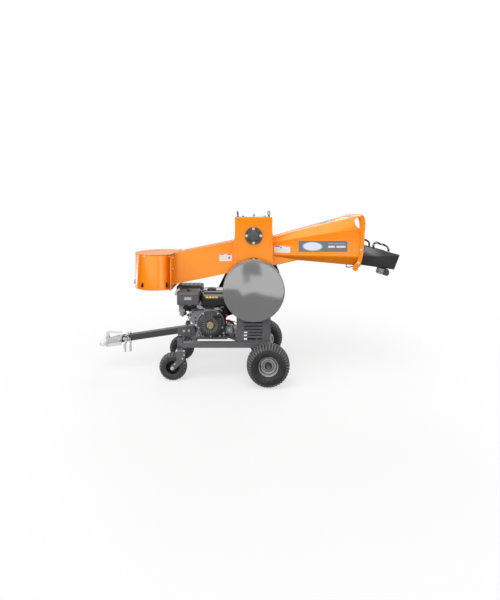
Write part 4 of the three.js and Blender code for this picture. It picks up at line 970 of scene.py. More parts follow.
# end bolts of the throat and chute flanges
for y in (-128, 128):
    hex_bolt(bm, P(-266, y, 1100), LEFT, 11, 5.5, 8.5)
    hex_bolt(bm, P(47.5, y, 1136), RIGHT, 11, 5.5, 8.5)
    hex_bolt(bm, P(47.5, y * 0.95, 908), RIGHT, 11, 5.5, 8.5)
obj_from("cutter_box_bolts", bm, BOLT, "machine", slot="bright_steel")
# bearing caps
for nm, z in (("upper", 1142), ("lower", 897)):
    bm = bmesh.new()
    c = P(SX, 0, z)
    prof = [(26, -150.4), (69.5, -150.4), (70.5, -152), (70.5, -159.5), (68.5, -161.6), (47, -161.8), (45, -163.2), (44.4, -166), (43.4, -173.4), (41.8, -176.4), (38.4, -178.2), (34, -178.6), (31, -177.6), (12, -177.4), (10.4, -176.2), (0, -176)]
    lathe_bm(bm, prof, 96, c, "Y")
    for k in range(4):  # ribs between the bolts
        a = math.pi / 4 + math.pi / 2 * k
        d = Vector((math.cos(a), 0, math.sin(a)))
        side = d.cross(Vector((0, 1, 0)))
        vs = []
        for r, y in ((44, -172), (66, -163), (66, -159), (44, -159)):
            for t in (-2.6, 2.6):
                vs.append(bm.verts.new(c + d * r * 0.001 + side * t * 0.001 + Vector((0, y * 0.001, 0))))
        for f in ((0, 2, 4, 6), (1, 7, 5, 3), (0, 1, 3, 2), (2, 3, 5, 4), (4, 5, 7, 6), (6, 7, 1, 0)):
            bm.faces.new([vs[i] for i in f])
    cp = obj_from("bearing_housing_" + nm, bm, CAP, "machine", "bearing_cap_" + nm, angle=30, slot="black_paint")
    bm = bmesh.new()
    for k in range(4):
        a = math.pi / 2 * k
        hex_bolt(bm, c + Vector((math.cos(a) * 0.0567, -0.1617, math.sin(a) * 0.0567)), NEAR, 14, 7.5, 11.5, wt=2.2)
    obj_from("bearing_bolts_" + nm, bm, WARM, "machine")
    bm = bmesh.new()
    a = math.radians(47)
    lathe_bm(bm, [(0, 0), (3.4, 0), (3.4, 5), (2, 6), (2.6, 9), (0, 10.5)], 14, c + Vector((math.cos(a) * 0.057, -0.1617, math.sin(a) * 0.057)), NEAR)
    obj_from("grease_nipple_" + nm, bm, TEAL, "machine")
bm = bmesh.new()
for z in (843, 951, 1088, 1196):
    for x in (SX - 56, SX + 56):
        hex_bolt(bm, P(x, 164, z), FAR, 14, 8, 11)
for x in (SX - 40, SX + 40):
    for z in (675, 755):
        hex_bolt(bm, P(x, 164.4, z), FAR, 13, 7, 10)
        hex_bolt(bm, P(x, -179.4, z), NEAR, 13, 7, 10)
obj_from("far_plate_bolts", bm, BOLT, "machine")
# knob and small fixings on the cover
bm = bmesh.new()
lathe_bm(bm, [(0, 0), (3, 0), (3, 8), (8, 10), (10, 14), (9, 18.5), (5, 21), (0, 21.5)], 24, P(-104, -60, 1293.3), "Z")
obj_from("cover_knob_red", bm, RED, "machine", angle=30)
bm = bmesh.new()
for x in (-195, -16):
    lathe_bm(bm, [(0, 0), (9, 0), (9, 3), (7, 5), (7, 9), (0, 9.5)], 20, P(x, -60, 1293.3), "Z")
obj_from("cover_fixings", bm, GREY_DARK, "machine", bevel=0.0006, angle=30)
# lifting eyes
for nm, x, turn, lean in (("left", -240, 74, -0.08), ("right", 22, 40, 0.0)):
    bm = bmesh.new()
    base = P(x, -20, 1293.6)
    lathe_bm(bm, [(0, 0), (12.5, 0), (13, 1.5), (12.5, 4), (8, 5.2), (7, 9), (6.4, 12), (6, 16), (0, 16)], 32, base, "Z")
    c = base + Vector((0, 0, 0.0275))
    pts = []
    for k in range(32):
        a = 2 * math.pi * k / 32
        h = Matrix.Rotation(math.radians(turn), 3, "Z") @ Vector((math.cos(a) * 0.0125, 0, math.sin(a) * 0.017))
        h.x += lean * (h.z + 0.017)
        pts.append(c + h)
    tube_bm(bm, pts, 4.2, 12, cyclic=True)
    obj_from("lifting_ring_" + nm, bm, EYE, "machine", "lifting_eye_" + nm, angle=40, slot="bright_steel")

# ---------------------------------------------------------------- infeed funnel
def oct_ring(top, ty, st, sb, sy, bot, by, t):
    return [(-ty + t * 0.6, top - t), (ty - t * 0.6, top - t), (sy - t, st - t * 0.4), (sy - t, sb + t * 0.4), (by - t * 0.6, bot + t), (-by + t * 0.6, bot + t), (-sy + t, sb + t * 0.4), (-sy + t, st - t * 0.4)]


THROAT = (1126, 50, 1091, 976, 100, 954, 70)
MOUTH = (1308, 168, 1199, 976, 200, 900, 150)


def funnel_ring(x, t, r=9.0, per=4):
    u = (x - 42.3) / (744 - 42.3)
    a, b = oct_ring(*THROAT, t), oct_ring(*MOUTH, t)
    q = [(p[0] + (w[0] - p[0]) * u, p[1] + (w[1] - p[1]) * u) for p, w in zip(a, b)]
    out, n = [], len(q)
    for i in range(n):
        p0, p1, p2 = Vector(q[i - 1]), Vector(q[i]), Vector(q[(i + 1) % n])
        k = min(r, (p0 - p1).length * 0.4, (p2 - p1).length * 0.4)
        s, e = p1 + (p0 - p1).normalized() * k, p1 + (p2 - p1).normalized() * k
        for j in range(per + 1):
            w = j / per
            out.append(s * (1 - w) ** 2 + p1 * 2 * w * (1 - w) + e * w * w)
    return [P(x, v[0], v[1]) for v in out]


def shell_bm(xs, t0, t1, r=9.0):
    bm = bmesh.new()
    outer = [[bm.verts.new(p) for p in funnel_ring(x, t0, r)] for x in xs]
    inner = [[bm.verts.new(p) for p in funnel_ring(x, t1, r)] for x in xs]
    n = len(outer[0])
    for rings in (outer, inner):
        for a, b in zip(rings, rings[1:]):
            for i in range(n):
                bm.faces.new((a[i], a[(i + 1) % n], b[(i + 1) % n], b[i]))
    for e in (0, -1):
        for i in range(n):
            bm.faces.new((outer[e][i], outer[e][(i + 1) % n], inner[e][(i + 1) % n], inner[e][i]))
    return bm


xs = [42.3 + (744 - 42.3) * i / 26 for i in range(27)]
bm = shell_bm(xs, 0, 4)


def closed_prism(pts, y0, y1):
    k = bmesh.new()
    prism_bm(k, pts, y0, y1)
    return k


def smooth2(pts, per=5, cyclic=True):
    v = smooth_path([Vector((a, 0, b)) for a, b in pts], per, cyclic)
    return [(p.x, p.z) for p in v]


HOLE = smooth2([(698, 1254), (701, 1272), (712, 1285), (726, 1284), (732, 1250), (730, 1208), (716, 1213), (703, 1231)], 5)
cuts = []
for s in (-1, 1):
    y0, y1 = (150, 230) if s > 0 else (-230, -150)
    cuts.append(closed_prism(HOLE, y0, y1))
    k = bmesh.new()
    lathe_bm(k, [(0, s * 140), (8.6, s * 140), (8.6, s * 215), (0, s * 215)], 24, P(717, 0, 931), "Y")
    cuts.append(k)
k = bmesh.new()
box_bm(k, 30, 252, -91, 91, 880, 978)
cuts.append(k)
bm = cut(bm, *cuts)
funnel = obj_from("infeed_funnel_shell", bm, ORANGE, "machine", "infeed_funnel", angle=50, slot="orange_paint")
bm = bmesh.new()
for s in (-1, 1):
    prism_bm(bm, [(43, 978), (43, 893), (56, 893), (272, 941.5), (272, 978)], s * 95.5, s * 91.5)
prism_bm(bm, [(43, 893), (56, 893), (272, 941), (272, 945), (56, 897), (43, 897)], -95.5, 95.5)
# flange against the cutter box
fl = bmesh.new()
box_bm(fl, 42.6, 47.3, -132, 132, 890, 1163)
k = bmesh.new()
prism_bm(k, [(-50, 1122), (50, 1122), (96, 1090), (96, 900), (-96, 900), (-96, 1090)], 30, 60, "YZ")
fl = cut(fl, k)
me = bpy.data.meshes.new("t")
fl.to_mesh(me)
fl.free()
bm.from_mesh(me)
obj_from("infeed_drop_floor", bm, ORANGE, "machine", bevel=0.0012, slot="orange_paint")

# mouth hoop
ear = [(692 + 21 * math.cos(a), 894 + 21 * math.sin(a)) for a in (-0.15 - (math.pi - 0.35) * i / 14 for i in range(15))]
edge = smooth2([(730, 1302), (745, 1302.5), (757, 1295), (765, 1276), (768, 1240), (766, 1205), (762, 1166), (758, 1095), (752, 1023), (747, 988), (739, 952), (726, 921), (714, 896)], 6, False)
inner_edge = smooth2([(675, 908), (700, 937), (716, 975), (724, 1010), (729, 1060), (732, 1120), (733, 1200), (733, 1250)], 5, False)
cheek = edge + ear + inner_edge + [(733, 1292)]
bm = bmesh.new()
for s in (-1, 1):
    k = bmesh.new()
    lathe_bm(k, [(0, s * 190), (7.4, s * 190), (7.4, s * 220), (0, s * 220)], 24, P(717, 0, 931), "Y")
    c2m = cut(closed_prism(cheek, s * 206, s * 210), k)
    me = bpy.data.meshes.new("t")
    c2m.to_mesh(me)
    c2m.free()
    bm.from_mesh(me)
hoop = obj_from("mouth_hoop_cheeks", bm, ORANGE, "machine", "mouth_hoop", bevel=0.0012, angle=40, slot="orange_paint")
bm = bmesh.new()
for s in (-1, 1):
    # rolled edge down the front of the cheek, following it into the ear
    path = [P(a, s * 207.5, b) for a, b in edge[2:]] + [P(a, s * 207.5, b) for a, b in ear]
    tube_bm(bm, path, [4.6] * (len(path) - 15) + [4.0] * 15, 12)
    lathe_bm(bm, [(0, s * 203), (8.4, s * 203), (8.4, s * 211), (7.0, s * 212.6), (0, s * 212.6)], 24, P(692, 0, 894), "Y")
# rolled front edge of the roof and the plate behind it
top_edge = [P(750, -205, 1299), P(752, -198, 1304), P(753, -185, 1307), P(753, -100, 1308.5), P(753, 0, 1308.5), P(753, 100, 1308.5), P(753, 185, 1307), P(752, 198, 1304), P(750, 205, 1299)]
tube_bm(bm, smooth_path(top_edge, 6), 4.6, 12)
obj_from("mouth_hoop_rolled_edge", bm, ORANGE, "machine", angle=60, slot="orange_paint")
bm = bmesh.new()
prism_bm(bm, smooth2([(728, 1290), (734, 1306), (744, 1311), (755, 1308), (760, 1300), (756, 1294), (744, 1300), (736, 1294)], 4), -206, 206)
# lip round the funnel's end
def offs(x, g):
    return [Vector((x, y, z)) for y, z in oct_ring(*MOUTH, -g)]


o0, i0 = offs(744.5, 6.5), offs(744.5, -3.0)
vo = [[bm.verts.new(P(x, v.y, v.z)) for v in o0] for x in (744.5, 748.5)]
vi = [[bm.verts.new(P(x, v.y, v.z)) for v in i0] for x in (744.5, 748.5)]
for i in range(8):
    j = (i + 1) % 8
    bm.faces.new((vo[0][i], vo[0][j], vo[1][j], vo[1][i]))
    bm.faces.new((vi[0][i], vi[1][i], vi[1][j], vi[0][j]))
    for e, f in ((0, 1), (1, -1)):
        bm.faces.new((vo[e][i], vi[e][i], vi[e][j], vo[e][j]))
for s in (-1, 1):
    box_bm(bm, 740, 748.5, s * 198, s * 207, 975, 1224)
obj_from("mouth_hoop_lip", bm, ORANGE, "machine", bevel=0.001, angle=40, slot="orange_paint")
bm = bmesh.new()
for s in (-1, 1):
    d = Vector((0, s, 0))
    hex_bolt(bm, P(738, s * 210, 1033), d, 13, 5.5, 10.5)
obj_from("mouth_hoop_bolts", bm, BOLT, "machine", slot="bright_steel")
# release rod behind the ear, with its grip
bm = bmesh.new()
tube_bm(bm, smooth_path([P(668, -200, 902), P(650, -200, 899), P(634, -200, 898), P(624, -200, 902), P(622, -200, 912), P(626, -200, 921)], 6), 3.6, 12)
tube_bm(bm, [P(700, -200, 903), P(668, -200, 902)], 3.6, 12)
tube_bm(bm, [P(700, -200, 903), P(700, 200, 903)], 4.0, 12)
obj_from("tray_latch_rod", bm, GRIP, "machine", angle=40)

# ---------------------------------------------------------------- tray
cad("infeed_tray", TRAY_PAINTED_LIGHT, 0.0012)
bm = bmesh.new()
# folded hems along the upper edges and the tip
for s in (-1, 1):
    tube_bm(bm, [P(778, s * 164.2, 1064.8), P(1060, s * 148.2, 987.9)], 2.2, 10)
tube_bm(bm, [P(1060, -147, 986.8), P(1065.6, -147, 981), P(1037.8, -111, 864.4), P(1037.8, 111, 864.4), P(1065.6, 147, 981), P(1060, 147, 986.8)], 2.2, 8)
obj_from("tray_hem", bm, TRAY_GREY, "tray", angle=60, slot="grey_paint")
bm = bmesh.new()
for s in (-1, 1):
    hex_bolt(bm, P(717, s * 210, 931), Vector((0, s, 0)), 16, 6, 12)
obj_from("tray_pivot_nuts", bm, BOLT, "tray", slot="bright_steel")


def zt(x):
    return 1072 - (x - 756) * 86 / 313


def handle(name, node, y, x0, x1, mat, slot, thick):
    bm = bmesh.new()
    ctrl = [P(x0 + 1, y, zt(x0) - 2), P(x0 - 3, y, zt(x0) + 16), P(x0 + 3, y, zt(x0) + 33), P(x0 + 20, y, zt(x0) + 45), P(x0 + 44, y, zt(x0 + 44) + 48), P(x1 - 30, y, zt(x1 - 30) + 47), P(x1 - 8, y, zt(x1) + 43), P(x1 + 2, y, zt(x1) + 27), P(x1 + 2, y, zt(x1) + 12), P(x1, y, zt(x1) - 2)]
    tube_bm(bm, smooth_path(ctrl, 7), thick, 18)
    for x in (x0, x1):
        lathe_bm(bm, [(0, -1), (10, -1), (10, 1.5), (8.5, 3), (0, 3)], 20, P(x + 0.5, y, zt(x) - 0.5), (0.27, 0, 1))
    return obj_from(name, bm, mat, "tray", node, angle=60, slot=slot)


handle("tray_grip_near", "tray_handle_near", -157, 856, 972, HANDLE, "grey_paint", 8.6)
handle("tray_grip_far", "tray_handle_far", 157, FAR_X0, FAR_X0 + 116, GRIP, "black_paint", 7.8)

# control box: two-part case with corner screws, gland and cable, stop button with its yellow collar
tilt = Matrix.Rotation(math.radians(15.5), 3, "Y")
O = P(940, -112, 852)


def T(x, y, z):
    return O + tilt @ Vector((x * 0.001, y * 0.001, z * 0.001))


def tbox(bm, x0, x1, y0, y1, z0, z1):
    n0 = len(bm.verts)
    vs = [bm.verts.new(T(x, y, z)) for x in (x0, x1) for y in (y0, y1) for z in (z0, z1)]
    for f in ((0, 1, 3, 2), (4, 6, 7, 5), (0, 4, 5, 1), (2, 3, 7, 6), (0, 2, 6, 4), (1, 5, 7, 3)):
        bm.faces.new([vs[i] for i in f])


bm = bmesh.new()
tbox(bm, 4, 44, -29, 29, -27, 21)
tbox(bm, -4, 10, -26, 26, -24, 18)
tbox(bm, 8, 40, -24, 24, 20.5, 27)
obj_from("control_case", bm, PLASTIC, "tray", "control_box", bevel=0.0032, segs=3, slot="black_plastic")
bm = bmesh.new()
tbox(bm, -38, 3, -28, 28, -26, 20)
obj_from("control_case_front", bm, PLASTIC_LIGHT, "tray", bevel=0.0032, segs=3, slot="black_plastic")
bm = bmesh.new()
for x, z in ((-32, 12), (-31, -19), (-22, 7), (-13, -4), (-6, 13), (-4, -19)):
    dome_bolt(bm, T(x, -28, z), tilt @ NEAR, 3.8, 2.0)
obj_from("control_screws", bm, BOLT, "tray")
bm = bmesh.new()
tbox(bm, -20, 20, -20, 20, 19, 24)
lathe_bm(bm, [(0, 0), (8, 0), (8, 5), (6, 8), (0, 8)], 18, T(-20, 27, 6), tilt @ FAR)
tube_bm(bm, smooth_path([T(-20, 34, 6), T(-22, 44, 14), T(-30, 50, 34), P(872, -54, 898)], 8), 3.2, 10)
obj_from("control_gland_cable", bm, GRIP, "tray", angle=40)
bm = bmesh.new()
lathe_bm(bm, [(0, 0), (14.5, 0), (14.5, 2), (12.5, 4), (0, 4)], 30, T(43.6, 0, -4), tilt @ RIGHT)
obj_from("stop_collar", bm, YELLOW, "tray", angle=30)
bm = bmesh.new()
lathe_bm(bm, [(0, 33), (6, 33), (6, 45.5), (13.5, 46.6), (16.6, 48.6), (17, 52), (15.4, 55.6), (11.5, 58), (6, 59.2), (0, 59.4)], 36, T(0, 0, -4), tilt @ RIGHT)
obj_from("stop_mushroom", bm, RED, "stop", "stop_button", angle=32, slot="red_plastic")

# ---------------------------------------------------------------- discharge
cad("discharge_chute", ORANGE, 0.0016)
bm = bmesh.new()
# hooded bag outlet: rolled sheet with a lap seam
HC, HR, HX = -900, 200, -767.5


def hood_arc(r, x0, n=104):
    """Plan of the hood: circle of radius r about its axis, open where it meets the flange at x0."""
    a0 = math.acos((x0 - HC) / r)
    return [(HC + r * math.cos(t), r * math.sin(t)) for t in (-a0 - (2 * math.pi - 2 * a0) * i / n for i in range(n + 1))]


outer = hood_arc(HR, HX)
inner = hood_arc(HR - 3, HX)
zs = (712, 716, 850, 990)
for pts, flip in ((outer, False), (inner, True)):
    rows = [[bm.verts.new(P(x, y, z)) for x, y in pts] for z in zs]
    for a, b in zip(rows, rows[1:]):
        for i in range(len(a) - 1):
            bm.faces.new((a[i], a[i + 1], b[i + 1], b[i]) if not flip else (a[i], b[i], b[i + 1], a[i + 1]))
bm.verts.ensure_lookup_table()
n = len(outer)
for zi in (0, 3):
    for i in range(n - 1):
        a, b = zi * n + i, zi * n + i + 1
        c, d = 4 * n + a, 4 * n + b
        bm.faces.new((bm.verts[a], bm.verts[b], bm.verts[d], bm.verts[c]))
for i in (0, n - 1):
    for zi in range(3):
        a, b = zi * n + i, (zi + 1) * n + i
        c, d = 4 * n + a, 4 * n + b
        bm.faces.new((bm.verts[a], bm.verts[b], bm.verts[d], bm.verts[c]))
obj_from("bag_hood_skin", bm, HOOD, "machine", "bag_hood", angle=30, slot="orange_paint")
bm = bmesh.new()
# lower rolled rim, lap strip and the flange plates beside the opening
tube_bm(bm, [P(x, y, 714) for x, y in outer], 2.6, 10)
for t in (-1, 1):
    box_bm(bm, -771.5, -767.4, t * 146, t * 213, 712, 990)
    box_bm(bm, -771.5, -760, t * 210.5, t * 213, 712, 996)
lap = [(HC + r * math.cos(t), r * math.sin(t)) for r, ts in ((200.0, (-1.48, -1.44, -1.40, -1.36)), (201.6, (-1.36, -1.40, -1.44, -1.48))) for t in ts]
prism_bm(bm, lap, 718, 987, "XY")
obj_from("bag_hood_trim", bm, ORANGE, "machine", bevel=0.0007, angle=40, slot="orange_paint")
bm = bmesh.new()
prism_bm(bm, hood_arc(202, -767), 991.6, 994.6, "XY")
obj_from("bag_hood_top", bm, ORANGE, "machine", "bag_hood_lid", bevel=0.0012, angle=40, slot="orange_paint")
bm = bmesh.new()
# a thin dark line just under the lid's edge: painted shade
tube_bm(bm, [P(x, y, 990.8) for x, y in hood_arc(200.6, -768)], 0.9, 6)
# dark strip along the top of the flange on this side: painted shade in the joint under the lid
prism_bm(bm, [(-772, 989), (-766, 996), (-758, 996.5), (-758, 993), (-765, 989)], -213, -60)
obj_from("bag_hood_joint_shade", bm, GRIP, "machine", angle=60)
bm = bmesh.new()
for a, z in ((-1.99, 980), (-0.948, 978), (-2.95, 979), (2.95, 979), (1.99, 980), (0.948, 978)):
    x, y = HC + 200 * math.cos(a), 200 * math.sin(a)
    dome_bolt(bm, P(x, y, z), Vector((math.cos(a), math.sin(a), 0)), 4.8, 3.0, washer=6.8)
for z in (962, 873.6, 752):
    for t in (-1, 1):
        dome_bolt(bm, P(-762.9, t * 137, z), RIGHT, 5.8, 3.8, washer=8)
        dome_bolt(bm, P(-771.6, t * 180, z), LEFT, 5.4, 3.4, washer=7.5)
obj_from("hood_bolts", bm, BOLT, "machine", slot="bright_steel")
# hooks for the bag rim
bm = bmesh.new()


def hook(bm, x, y, z, ang):
    m = Matrix.Rotation(ang, 3, "Z")
    o = P(x, y, z)
    for a, b in (((0.2, 4), (-18, 16)), ((4, 13), (-18, -13.5)), ((10, 13), (-18, 4)), ((4, 9), (12, 16))):
        vs = [bm.verts.new(o + m @ Vector((p * 0.001, q * 0.001, r * 0.001))) for p in a for q in (-6.5, 6.5) for r in b]
        for f in ((0, 1, 3, 2), (4, 6, 7, 5), (0, 4, 5, 1), (2, 3, 7, 6), (0, 2, 6, 4), (1, 5, 7, 3)):
            bm.faces.new([vs[i] for i in f])
    dome_bolt(bm, o + m @ Vector((0.004, 0, 0.004)), m @ RIGHT, 4.0, 2.6)


hook(bm, HC - 200.4, -20, 752, math.pi + 0.1)
obj_from("bag_hook_end_piece", bm, BLACK_PAINT, "machine", "bag_hook_end", bevel=0.0009, slot="black_paint")
bm = bmesh.new()
for a in (-2.06, 2.06, -1.073, 1.073):
    hook(bm, HC + 200.2 * math.cos(a), 200.2 * math.sin(a), 754, a)
obj_from("bag_hooks_side", bm, BLACK_PAINT, "machine", bevel=0.0009, slot="black_paint")

# ---------------------------------------------------------------- labels (plain, no lettering)
W, R_, K = rgb(236, 235, 236), rgb(214, 40, 90), rgb(60, 60, 62)


def plate(name, pts, normal, mat, body="machine", th=0.5):
    """A thin sticker through four corners in metres, given anticlockwise seen from outside."""
    bm = bmesh.new()
    nn = Vector(normal).normalized() * th * 0.001
    lo = [bm.verts.new(p) for p in pts]
    hi = [bm.verts.new(p + nn) for p in pts]
    bm.faces.new(lo[::-1])
    bm.faces.new(hi)
    for i in range(4):
        j = (i + 1) % 4
        bm.faces.new((lo[i], lo[j], hi[j], hi[i]))
    return obj_from(name, bm, mat, body, smooth=False)


LBL1 = label("notice_label_chute", [(0.0, 1.0, 0.86, 1.0, rgb(222, 206, 220)), (0.08, 0.34, 0.86, 1.0, R_), (0.66, 0.95, 0.86, 1.0, R_), (0.72, 0.84, 0.30, 0.62, K), (0.06, 0.60, 0.60, 0.66, rgb(190, 190, 194)), (0.06, 0.56, 0.42, 0.47, rgb(196, 196, 200)), (0.06, 0.60, 0.24, 0.29, rgb(200, 200, 204))])
plate("label_chute", [P(-389, -90.1, 930), P(-287, -90.1, 930), P(-287, -90.1, 987.5), P(-389, -90.1, 987.5)], NEAR, LBL1)


def FS(x, z, out=0.0):
    """Point on the near side face of the funnel."""
    u = (x - 42.3) / 701.7
    return P(x, -(100 + 100 * u) - out, z)


fn = Vector((-100, -701.7, 0)).normalized()
fn = Vector((100 / 701.7, -1, 0)).normalized() * 1
fn = Vector((-0.1411, -0.99, 0)).normalized()
LBL2 = label("notice_label_funnel", [(0.0, 1.0, 0.86, 1.0, rgb(222, 206, 220)), (0.04, 0.20, 0.86, 1.0, R_), (0.74, 0.96, 0.86, 1.0, rgb(226, 150, 150)), (0.20, 0.34, 0.86, 1.0, K), (0.38, 0.48, 0.68, 0.84, K), (0.08, 0.9, 0.52, 0.57, rgb(198, 198, 202)), (0.08, 0.86, 0.36, 0.41, rgb(200, 200, 204)), (0.08, 0.9, 0.2, 0.25, rgb(198, 198, 202))])
plate("label_funnel", [FS(61, 1002, 0.1), FS(189, 1002, 0.1), FS(189, 1055.5, 0.1), FS(61, 1055.5, 0.1)], fn, LBL2)


PANEL = painted("panel_film_grey", rgb(112, 114, 118), 0.3, 0.0, 0.3, 0.04, 0.1)
plate("funnel_panel", [FS(257, 1010.7, 0.1), FS(636, 1017.5, 0.1), FS(636, 1104, 0.1), FS(257, 1099, 0.1)], fn, PANEL)
PALE = painted("panel_film_pale", rgb(226, 228, 236), 0.3, 0.0, 0.3, 0.03, 0.1)
HALO = painted("panel_film_lilac", rgb(176, 178, 212), 0.3, 0.0, 0.3, 0.03, 0.1)
MARK = painted("panel_film_red", rgb(214, 52, 56), 0.3, 0.0, 0.3, 0.05, 0.1)
for nm, mt, ka, kb, o in (("funnel_oval_rim", HALO, 80, 37, 0.7), ("funnel_oval", PALE, 70, 31, 1.0)):
    bm = bmesh.new()
    front, back = [], []
    for k in range(48):
        t = 2 * math.pi * k / 48
        x, z = 366 + ka * math.cos(t), 1056 + kb * math.sin(t)
        front.append(bm.verts.new(FS(x, z, o)))
        back.append(bm.verts.new(FS(x, z, 0.2)))
    bm.faces.new(front)
    bm.faces.new(back[::-1])
    for k in range(48):
        j = (k + 1) % 48
        bm.faces.new((front[k], front[j], back[j], back[k]))
    obj_from(nm, bm, mt, "machine", smooth=False)
# three short bars in place of any wording, and a red rule under them
plate("funnel_bar_a", [FS(488, 1078, 0.5), FS(618, 1079, 0.5), FS(618, 1084, 0.5), FS(488, 1083, 0.5)], fn, HALO)
plate("funnel_bar_b", [FS(488, 1048, 0.5), FS(540, 1049, 0.5), FS(540, 1064, 0.5), FS(488, 1063, 0.5)], fn, PALE)
plate("funnel_bar_c", [FS(552, 1049, 0.5), FS(622, 1050, 0.5), FS(622, 1065, 0.5), FS(552, 1064, 0.5)], fn, PALE)
plate("funnel_rule", [FS(488, 1030, 0.5), FS(620, 1031, 0.5), FS(620, 1038, 0.5), FS(488, 1037, 0.5)], fn, MARK)


def RF(x, y, out=0.0):
    """Point on the roof of the funnel."""
    u = (x - 42.3) / 701.7
    return P(x, y, 1126 + 182 * u + out)


for nm, x0, x1, y0, y1, c in (("roof_patch_dark", 450, 560, -92, 60, rgb(96, 92, 104)), ("roof_patch_grey", 512, 560, -96, -20, rgb(150, 140, 150)), ("roof_patch_green", 572, 640, -110, -10, rgb(160, 190, 60)), ("roof_patch_yellow", 640, 668, -112, 70, rgb(222, 210, 70)), ("roof_patch_violet", 676, 712, -120, 80, rgb(150, 96, 150))):
    plate(nm, [RF(x0, y0, 0.2 if nm != "roof_patch_grey" else 0.9), RF(x1, y0, 0.2 if nm != "roof_patch_grey" else 0.9), RF(x1, y1, 0.2 if nm != "roof_patch_grey" else 0.9), RF(x0, y1, 0.2 if nm != "roof_patch_grey" else 0.9)], (-0.25, 0, 0.97), painted(nm + "_film", c, 0.4, 0.0, 0.0, 0.05, 0.1))

# ---------------------------------------------------------------- engine
def rrect(hx, hy, r, per=6):
    out = []
    for cx, cy, a0 in ((hx - r, hy - r, 0), (-hx + r, hy - r, 90), (-hx + r, -hy + r, 180), (hx - r, -hy + r, 270)):
        for k in range(per + 1):
            a = math.radians(a0 + 90 * k / per)
            out.append((cx + r * math.cos(a), cy + r * math.sin(a)))
    return out


def loft_z(bm, secs, cx, cy, mat=0):
    """secs: [(z, hx, hy, r)] rounded rectangles stacked upward; closed at both ends."""
    rings = [[bm.verts.new(P(cx + a, cy + b, z)) for a, b in rrect(hx, hy, r)] for z, hx, hy, r in secs]
    n = len(rings[0])
    for a, b in zip(rings, rings[1:]):
        for i in range(n):
            bm.faces.new((a[i], a[(i + 1) % n], b[(i + 1) % n], b[i])).material_index = mat
    bm.faces.new(rings[0][::-1]).material_index = mat
    bm.faces.new(rings[-1]).material_index = mat
    return rings


CX, CZ = -455, 435
# crankcase
bm = bmesh.new()
prism_bm(bm, [(-552, 326), (-345, 326), (-345, 470), (-360, 520), (-392, 545), (-470, 560), (-560, 552), (-612, 540), (-640, 476), (-600, 400)], -84, 88)
prism_bm(bm, [(-566, 316.5), (-338, 316.5), (-338, 327), (-566, 327)], -88, 92)
obj_from("crankcase", bm, ALU_DARK, "machine", "engine_block", bevel=0.005, segs=3, angle=25, slot="cast_aluminium")
bm = bmesh.new()
lathe_bm(bm, [(14.6, 84), (52, 84), (52, 92), (44, 96), (42, 104), (14.6, 104)], 48, P(CX, 0, CZ), "Y", closed=True)
for k in range(6):
    a = math.pi / 3 * k + 0.3
    lathe_bm(bm, [(0, 84), (11, 84), (10, 94), (0, 94)], 18, P(CX + 66 * math.cos(a), 0, CZ + 66 * math.sin(a)), "Y")
# cover ribs on the output side
for k in range(8):
    a = math.pi / 4 * k
    d = Vector((math.cos(a), 0, math.sin(a)))
    sd = Vector((-math.sin(a), 0, math.cos(a)))
    vs = []
    for r, y in ((40, 96), (80, 88), (80, 84), (40, 84)):
        for t in (-2, 2):
            vs.append(bm.verts.new(P(CX, 0, CZ) + d * r * 0.001 + sd * t * 0.001 + Vector((0, y * 0.001, 0))))
    for f in ((0, 2, 4, 6), (1, 7, 5, 3), (0, 1, 3, 2), (2, 3, 5, 4), (4, 5, 7, 6), (6, 7, 1, 0)):
        bm.faces.new([vs[i] for i in f])
obj_from("crankcase_cover", bm, ALU, "machine", bevel=0.001, angle=30)
# slanted cylinder with cooling fins and the rocker cover
ax = Vector((-0.86, 0, 0.51)).normalized()  # cylinder axis, up and forward
up = Vector((0.51, 0, 0.86)).normalized()
c0 = P(-548, 2, 502)


def slab(bm, d0, d1, hw, hy, mat=0):
    vs = []
    for d in (d0, d1):
        for a, b in ((-1, -1), (1, -1), (1, 1), (-1, 1)):
            vs.append(bm.verts.new(c0 + ax * d * 0.001 + up * a * hw * 0.001 + Vector((0, b * hy * 0.001, 0))))
    for f in ((0, 3, 2, 1), (4, 5, 6, 7), (0, 1, 5, 4), (1, 2, 6, 5), (2, 3, 7, 6), (3, 0, 4, 7)):
        bm.faces.new([vs[i] for i in f])


bm = bmesh.new()
slab(bm, -10, 76, 38, 54)
for k in range(9):
    slab(bm, 4 + k * 7.4, 6.8 + k * 7.4, 50 - (k % 2) * 1.5, 68)
obj_from("cylinder_fins", bm, ALU, "machine", bevel=0.0006, slot="cast_aluminium")
bm = bmesh.new()
slab(bm, 74, 80, 52, 62)
slab(bm, 80, 101, 46, 54)
obj_from("rocker_cover", bm, BLACK_PAINT, "machine", bevel=0.005, segs=3)
bm = bmesh.new()
for a, b in ((-44, -52), (44, -52), (-44, 52), (44, 52)):
    hex_bolt(bm, c0 + ax * 0.080 + up * a * 0.001 + Vector((0, b * 0.001, 0)), ax, 10, 6, 8)
for x in (-556, -350):
    for y in (-96, 100):
        hex_bolt(bm, P(x, y, 316.2), UP, 13, 8, 11)
for x in (-520, -385):
    for y in (-100,):
        hex_bolt(bm, P(x, y, 316.2), UP, 13, 8, 11)
obj_from("engine_bolts", bm, BOLT, "machine", slot="bright_steel")
bm = bmesh.new()
for x0 in (-566, -360):
    box_bm(bm, x0, x0 + 24, -108, 112, 316.2, 320)
obj_from("engine_feet", bm, ALU_DARK, "machine", bevel=0.001)
